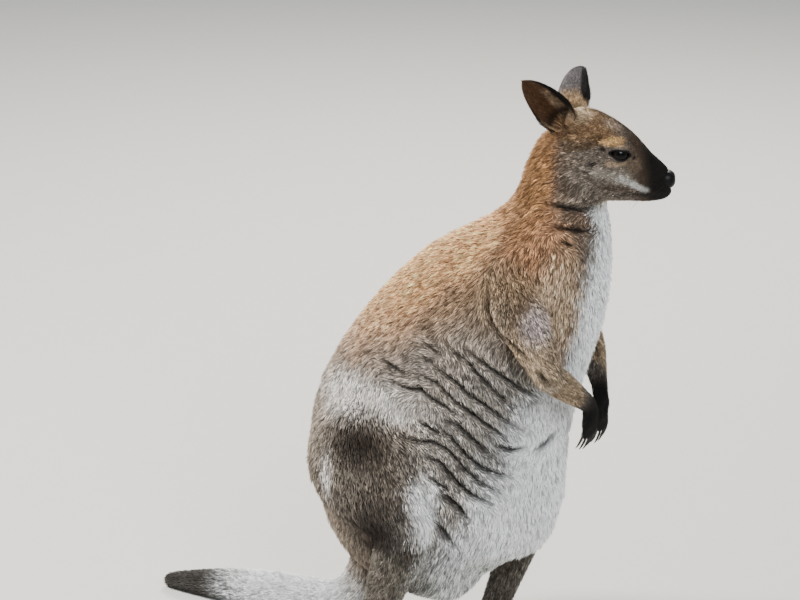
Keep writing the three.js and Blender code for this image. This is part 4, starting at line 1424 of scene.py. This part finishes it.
def regions(root, belongs):
    """The pieces of the coat: name, which roots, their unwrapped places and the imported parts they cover."""
    ears = on_ear(root)
    free = ~(ears["left"] | ears["right"])
    _, y, z = root.T
    trunk = group_of(belongs, "back", "front", "thigh") & free
    out = []
    for side in SIGN:
        share, across, outward, _ = ear_coords(root, side)
        unwrapped = share, across + EAR_SIDES_APART * (outward > -2)
        out.append((f"coat_ear_{side}", ears[side], unwrapped, (f"ear_{side}",), "ear_fur"))
    head = group_of(belongs, "face", "jaw") & free
    out.append(("coat_head", head, around(root, [head_point(-80, 0, -20), head_point(72, 0, -44)], -HEAD_T),
                ("head", "jaw"), "rufous_fur"))
    heights = (("neck", 570, 1e3, ("neck",), "rufous_fur"), ("shoulder", 480, 570, ("chest",), "rufous_fur"),
               ("flank", 385, 480, ("trunk", "chest"), "grey_fur"), ("hip", 300, 385, ("trunk",), "grey_fur"),
               ("haunch", 215, 300, ("trunk",), "grey_fur"), ("seat", -50, 215, ("trunk",), "grey_fur"))
    for side, sign in SIGN.items():
        half = y * sign >= 0
        unwrapped = around(root, TRUNK_AXIS, np.array([1.0, 0, 0]))
        for part, low, high, covers, slot in heights:
            chosen = trunk & half & (z >= low) & (z < high)
            covers = covers + ((f"thigh_{side}",) if part in ("hip", "haunch", "seat") else ())
            out.append((f"coat_{part}_{side}", chosen, unwrapped, covers, slot))
        for part, names, reference in (
            ("arm", ("upper_arm", "forearm", "hand"), (0, -1.0, 0)),
            ("leg", ("shank", "foot"), (0, 0.2, 1.0)),
        ):
            covers = tuple(f"{n}_{side}" for n in names)
            path = [p for name in covers for p, *_ in LINES[name]]
            path = [p for k, p in enumerate(path) if k == 0 or np.linalg.norm(p - path[k - 1]) > 1]
            out.append((f"coat_{part}_{side}", group_of(belongs, *covers) & free,
                        around(root, path, np.array(reference, float)), covers, "dark_fur"))
    tail = group_of(belongs, "tail") & free
    out.append(("coat_tail", tail, around(root, [p for p, *_ in LINES["tail"]], DOWN),
                ("tail_base", "tail_middle", "tail_end"), "tail_fur"))
    return out


def tuft_mesh(name, root, middle_ring, tip, colours, places):
    """One mesh of closed spindles: a root, a ring of three and a tip for each, with its map and colours."""
    count = len(root)
    points = np.empty((count, 5, 3))
    points[:, 0], points[:, 1:4], points[:, 4] = root, middle_ring, tip
    points[:, :, 2] = np.maximum(points[:, :, 2], LEAST_HEIGHT)
    faces = np.array([[1, 3, 4], [3, 2, 4], [2, 1, 4], [3, 1, 0], [2, 3, 0], [1, 2, 0]])
    corners = (np.arange(count)[:, None, None] * 5 + faces[None]).reshape(-1)
    mesh = bpy.data.meshes.new(name)
    mesh.vertices.add(count * 5)
    mesh.vertices.foreach_set("co", to_metres(points.reshape(-1, 3)).astype(np.float32).ravel())
    mesh.loops.add(len(corners))
    mesh.loops.foreach_set("vertex_index", corners.astype(np.int32))
    mesh.polygons.add(count * 6)
    mesh.polygons.foreach_set("loop_start", np.arange(0, count * 18, 3, dtype=np.int32))
    mesh.polygons.foreach_set("use_smooth", np.zeros(count * 6, bool))
    mesh.update(calc_edges=True)
    colour_layer(mesh, "coat_tone", colours.reshape(-1, 3))
    u, v = places
    flat = np.stack(
        [(c - c.min()) / (c.max() - c.min()) * (1 - 4 * PATCH) + 2 * PATCH for c in (u, v)], axis=1)
    own = np.array([[-1, 0], [0, 1], [0, -1], [0.1, 0], [1, 0]]) * PATCH
    placed = (flat[:, None, :] + own[None]).reshape(-1, 2)
    layer = mesh.uv_layers.new(name="OFBake")
    layer.data.foreach_set("uv", placed[corners].astype(np.float32).ravel())
    return make_object(name, mesh)


class WALLABY_OT_coat(bpy.types.Operator):
    """The coat in pieces: locks that follow its lie, banded like agouti fur, over every haired part"""

    bl_idname = "wallaby.coat"
    bl_label = "Coat"

    def execute(self, context):
        skin = bpy.data.objects["skin"]
        rng = np.random.default_rng(SEED)
        root, normal = scatter(skin, SEED)
        f, s, t = head_coords(root)
        lid_gap = eyelid_gap(root)
        mouth, _ = distance_to(points_fst(f, np.abs(s), t), MOUTH)
        nose = np.linalg.norm(root - NOSE_AT, axis=1) < NOSE_BARE
        sole = (root[:, 2] < 2.5) & (normal[:, 2] < -0.5)
        keep = (lid_gap > 2.2) & ~nose & ~((mouth < 0.9) & (f > 0)) & ~sole
        root, normal, lid_gap = root[keep], normal[keep], lid_gap[keep]
        direction, belongs, _, looks = follow(root)
        depth, length, breadth = looks[:, 0].copy(), looks[:, 1].copy(), looks[:, 2] * sizes().breadth
        close = group_of(belongs, "face", "jaw", "upper_arm", "forearm", "hand", "foot")
        stray = np.where(close, CLOSE_MIX, WIDE_MIX) * smooth(2, 14, lid_gap)
        mixed = root + rng.normal(0, 1, root.shape) * stray[:, None]
        tone = ear_tone(root, normal, coat_tone(mixed))
        for side, chosen in on_ear(root).items():
            share, _, _, opening = ear_coords(root, side)
            inside = chosen & (normal @ opening > 0.1)
            blend_in = smooth(0.03, 0.2, share)
            for value, outer, inner in ((depth, 0.7, 0.9), (length, 4.5, 6.0), (breadth, 0.6, 0.5)):
                value[chosen] += (outer - value[chosen]) * blend_in[chosen]
                value[inside] += (inner - value[inside]) * blend_in[inside]
            wispy = inside & (share < 0.55)
            length[wispy] *= 1.6
            depth[wispy] *= 2.2
        _, _, folded, near_fold, fold_way, _ = fold_field(root)
        length *= sizes().length * np.where(group_of(belongs, "face", "jaw"), 0.8, 1.0)
        length += (np.minimum(length, 8.0) - length) * near_fold
        length *= 1 - 0.35 * folded
        depth *= (1 - 0.5 * near_fold) * (1 - 0.6 * folded)
        near_lids = 1 - smooth(2, 9, lid_gap)
        length *= 1 - 0.6 * near_lids
        depth *= 1 - 0.6 * near_lids
        breadth *= 1 - 0.25 * near_lids
        flat = coat_direction(root, normal, direction, near_fold, fold_way, rng)
        length *= rng.uniform(0.7, 1.2, len(root))
        breadth *= rng.uniform(0.75, 1.25, len(root))
        rise = depth * rng.uniform(0.4, 1.25, len(root))
        side_way = np.cross(normal, flat)
        reach = np.sqrt(np.maximum(length**2 - rise**2, (0.3 * length) ** 2))
        over = fold_field(root + flat * reach[:, None])[2] * (1 - folded)
        reach *= 1 - 0.55 * smooth(0.15, 0.6, over)
        tip = root + flat * reach[:, None] + normal * rise[:, None]
        pull = (0.3 * smooth(5, 12, length) + 0.14) * (1 - 0.8 * near_fold)
        tip, lock = clump(root, tip, rng, LOCK_SIZE, pull)
        centre = root + (tip - root) * 0.42 + normal * (rise * 0.2)[:, None]
        across = side_way * (breadth / 2)[:, None]
        above = normal * (breadth * 0.5)[:, None]
        ring = np.stack([centre + across, centre - across, centre + above], axis=1)
        # painted shade in the folds and painted highlight on the rolls, at root, middle and tip of each tuft
        shade = np.stack([painted_fold_shading(root), painted_fold_shading(centre), painted_fold_shading(tip)], axis=1)
        colours = self.banding(tone, lock, shade, rng)
        hair = hair_material()
        for name, chosen, places, covers, slot in regions(root, belongs):
            if chosen.sum() == 0:
                continue
            piece = tuft_mesh(name, (root - normal * ROOT_DEPTH)[chosen], ring[chosen], tip[chosen],
                              colours[chosen], [p[chosen] for p in places])
            piece.data.materials.append(hair)
            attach(piece, "root")
            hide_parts(*covers)
        return {"FINISHED"}

    def banding(self, tone, lock, shade, rng):
        """Dark at the root, the coat's hue along the shaft, and pale, plain or dark tips by turns."""
        count = len(tone)
        light = tone.mean(axis=1)
        ticked = smooth(0.012, 0.07, light) * (1 - smooth(0.45, 0.75, light))
        locks = lock.max() + 1
        single = rng.normal(0, 0.12 + 0.28 * ticked)
        own = np.exp(single + rng.normal(0, 1, locks)[lock] * (0.10 + 0.27 * ticked))
        strand = np.where(rng.random(locks)[lock] < 0.18, 0.66, 1.0)
        strand = strand * np.where(rng.random(count) < 0.14, 0.68, 1.0)
        own *= 1 + (strand - 1) * smooth(0.45, 0.6, light)
        shaft = tone * own[:, None]
        pick = 0.5 * rng.random(locks)[lock] + 0.5 * rng.random(count)
        pale = np.where(pick < 0.40, 0.65, 0.0) * ticked
        dark = np.where(pick > 0.62, 0.75, 0.0) * ticked
        tip = shaft * 1.1
        tip = tip + (np.minimum(tone * 2.4 + 0.03, 0.85) - tip) * pale[:, None]
        tip = tip + (tone * 0.3 - tip) * dark[:, None]
        root = shaft * (0.5 + 0.3 * smooth(0.3, 0.6, light))[:, None]
        shaft = shaft + (tip - shaft) * 0.35
        # the folds' painted shade and painted highlight on each part of the tuft
        root, shaft, tip = (value * shade[:, k : k + 1] for k, value in enumerate((root, shaft, tip)))
        return np.minimum(np.stack([root, shaft, shaft, shaft, tip], axis=1), LIGHTEST)


WHISKER_RADIUS, LASH_RADIUS = 0.17, 0.14
WHISKER_RINGS = 6
WHISKER_SAG = 0.16  # fall of the tip as a share of the length


class WALLABY_OT_whiskers(bpy.types.Operator):
    """Whiskers on the lips, brow and cheek, and the lashes of the upper lids"""

    bl_idname = "wallaby.whiskers"
    bl_label = "Whiskers"

    def execute(self, context):
        rng = np.random.default_rng(SEED + 1)
        half, rise, _, lid_thick = lids()
        tree = bvh_of(bpy.data.objects["skin"])
        starts = []
        for side, sign in SIGN.items():
            for row in range(4):
                for step in range(6):
                    spot = head_point(58 - step * 4.4, sign * 30, -38.5 - row * 3.6 - step * 0.4)
                    starts.append((spot, sign, 16 + step * 4.2, (-0.75, 0.85, -0.35)))
            for step in range(4):
                starts.append((head_point(6 - step * 5, sign * 50, 17), sign, 22, (-0.5, 0.9, 0.5)))
            for step in range(3):
                spot = head_point(-27 - step * 3, sign * 60, -13 - step * 2)
                starts.append((spot, sign, 20, (-0.7, 0.8, -0.1)))
        hairs = []
        for start, sign, length, lean in starts:
            hit = tree.find_nearest(Vector(to_metres(start)))
            base = (np.array(hit[0]) - ORIGIN) / MM
            way = lean[0] * HEAD_F + sign * lean[1] * HEAD_S + lean[2] * HEAD_T + rng.normal(0, 0.08, 3)
            base = base - 0.6 * np.array(hit[1])
            hairs.append((base, unit(way), length * rng.uniform(0.8, 1.1), WHISKER_RADIUS))
        for side in SIGN:
            along, up, out = eye_axes(side)
            for step in np.linspace(-0.8, 0.85, 22):
                u = step * half
                v = rise * (1 - abs(step) ** 3.0) ** 0.8 + 0.9
                w = math.sqrt(max((EYE_RADIUS + lid_thick) ** 2 - u * u - v * v, 1)) + 0.3
                base = EYE[side] + u * along + v * up + w * out
                way = out + 0.35 * up + 0.35 * step * along + rng.normal(0, 0.08, 3)
                hairs.append((base, unit(way), rng.uniform(3.5, 5.0), LASH_RADIUS))
        points, faces = [], []
        for base, way, length, thick in hairs:
            across = unit(np.cross(way, (0.3, 0.1, 1.0)))
            other = np.cross(way, across)
            sag = DOWN * length * WHISKER_SAG
            first = len(points)
            for k in range(WHISKER_RINGS):
                share = k / WHISKER_RINGS
                spot = base + way * length * share + sag * share**2
                radius = thick * (1 - 0.75 * share)
                for turn in range(3):
                    a = turn * 2 * math.pi / 3
                    points.append(spot + radius * (math.cos(a) * across + math.sin(a) * other))
            points.append(base + way * length + sag)
            last = first + 3 * (WHISKER_RINGS - 1)
            for ring in range(first, last, 3):
                for turn in range(3):
                    a, b = ring + turn, ring + (turn + 1) % 3
                    faces.append((a, b, b + 3, a + 3))
            for turn in range(3):
                faces.append((last + turn, last + (turn + 1) % 3, last + 3))
            faces.append((first + 2, first + 1, first))
        mesh = bpy.data.meshes.new("whiskers")
        mesh.from_pydata([tuple(to_metres(p)) for p in points], [], faces)
        whiskers = make_object("whiskers", mesh)
        whiskers.data.materials.append(plain_material(
            "whisker_keratin", colour("soot"), 0.4, grain=900, variation=0.2))
        shade_smooth(whiskers)
        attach(whiskers, "root")
        return {"FINISHED"}


# ---------------------------------------------------------------------------------------------------------
# Studio
# ---------------------------------------------------------------------------------------------------------


def soft_light(name, place, target, size, power, colour):
    light = bpy.data.lights.new(name, "AREA")
    light.shape = "DISK"
    light.size = size
    light.energy = power
    light.color = colour
    lamp = bpy.data.objects.new(name, light)
    bpy.context.scene.collection.objects.link(lamp)
    lamp.location = place
    lamp.rotation_euler = (Vector(target) - Vector(place)).to_track_quat("-Z", "Y").to_euler()


class WALLABY_OT_studio(bpy.types.Operator):
    """A plain pale floor, soft light from above and both sides, and the camera"""

    bl_idname = "wallaby.studio"
    bl_label = "Studio"

    def execute(self, context):
        clear_selection()
        bpy.ops.mesh.primitive_plane_add(size=40, location=(0, 0, 0))
        floor = bpy.context.object
        floor.name = "floor"
        floor.data.materials.append(plain_material(
            "painted_floor", colour("floor"), 0.9, grain=40.0, variation=0.03))
        world = bpy.data.worlds.new("studio")
        world.use_nodes = True
        background = world.node_tree.nodes["Background"]
        background.inputs["Color"].default_value = (*linear("#c9ced3"), 1)
        background.inputs["Strength"].default_value = 0.9
        context.scene.world = world
        soft_light("key", (-1.7, -1.3, 3.2), (0, 0, 0.45), 0.9, 300, (1.0, 0.96, 0.90))
        soft_light("front_fill", (2.2, -2.3, 2.3), (0, 0, 0.4), 1.6, 110, (0.94, 0.97, 1.0))
        soft_light("back_rim", (-0.9, 2.6, 2.4), (0, 0, 0.5), 1.2, 150, (1.0, 0.95, 0.88))
        camera = bpy.data.cameras.new("camera")
        camera.lens, camera.sensor_width = CAMERA_LENS, SENSOR
        camera.clip_end = 100
        view = bpy.data.objects.new("camera", camera)
        context.scene.collection.objects.link(view)
        view.location = CAMERA_AT * MM
        view.rotation_euler = (-Vector(TO_CAMERA)).to_track_quat("-Z", "Y").to_euler()
        context.scene.camera = view
        return {"FINISHED"}


class WALLABY_PT_panel(bpy.types.Panel):
    """Lists the pieces of the wallaby"""

    bl_idname = "WALLABY_PT_panel"
    bl_label = "Wallaby"
    bl_space_type = "VIEW_3D"
    bl_region_type = "UI"
    bl_category = "Wallaby"

    def draw(self, context):
        for kind in OPERATORS:
            self.layout.operator(kind.bl_idname)
        for settings in (context.scene.wallaby_sizes, context.scene.wallaby_colours):
            box = self.layout.box()
            for key in type(settings).__annotations__:
                box.prop(settings, key)


OPERATORS = (WALLABY_OT_skin, WALLABY_OT_eyes, WALLABY_OT_nose, WALLABY_OT_claws, WALLABY_OT_coat,
             WALLABY_OT_whiskers, WALLABY_OT_studio)
CLASSES = (WALLABY_PG_colours, WALLABY_PG_sizes, *OPERATORS, WALLABY_PT_panel)


def register():
    for kind in CLASSES:
        bpy.utils.register_class(kind)
    bpy.types.Scene.wallaby_colours = bpy.props.PointerProperty(type=WALLABY_PG_colours)
    bpy.types.Scene.wallaby_sizes = bpy.props.PointerProperty(type=WALLABY_PG_sizes)


def unregister():
    del bpy.types.Scene.wallaby_colours, bpy.types.Scene.wallaby_sizes
    for kind in reversed(CLASSES):
        bpy.utils.unregister_class(kind)


def main():
    register()
    for kind in OPERATORS:
        group, name = kind.bl_idname.split(".")
        getattr(getattr(bpy.ops, group), name)()


if __name__ == "__main__":
    main()
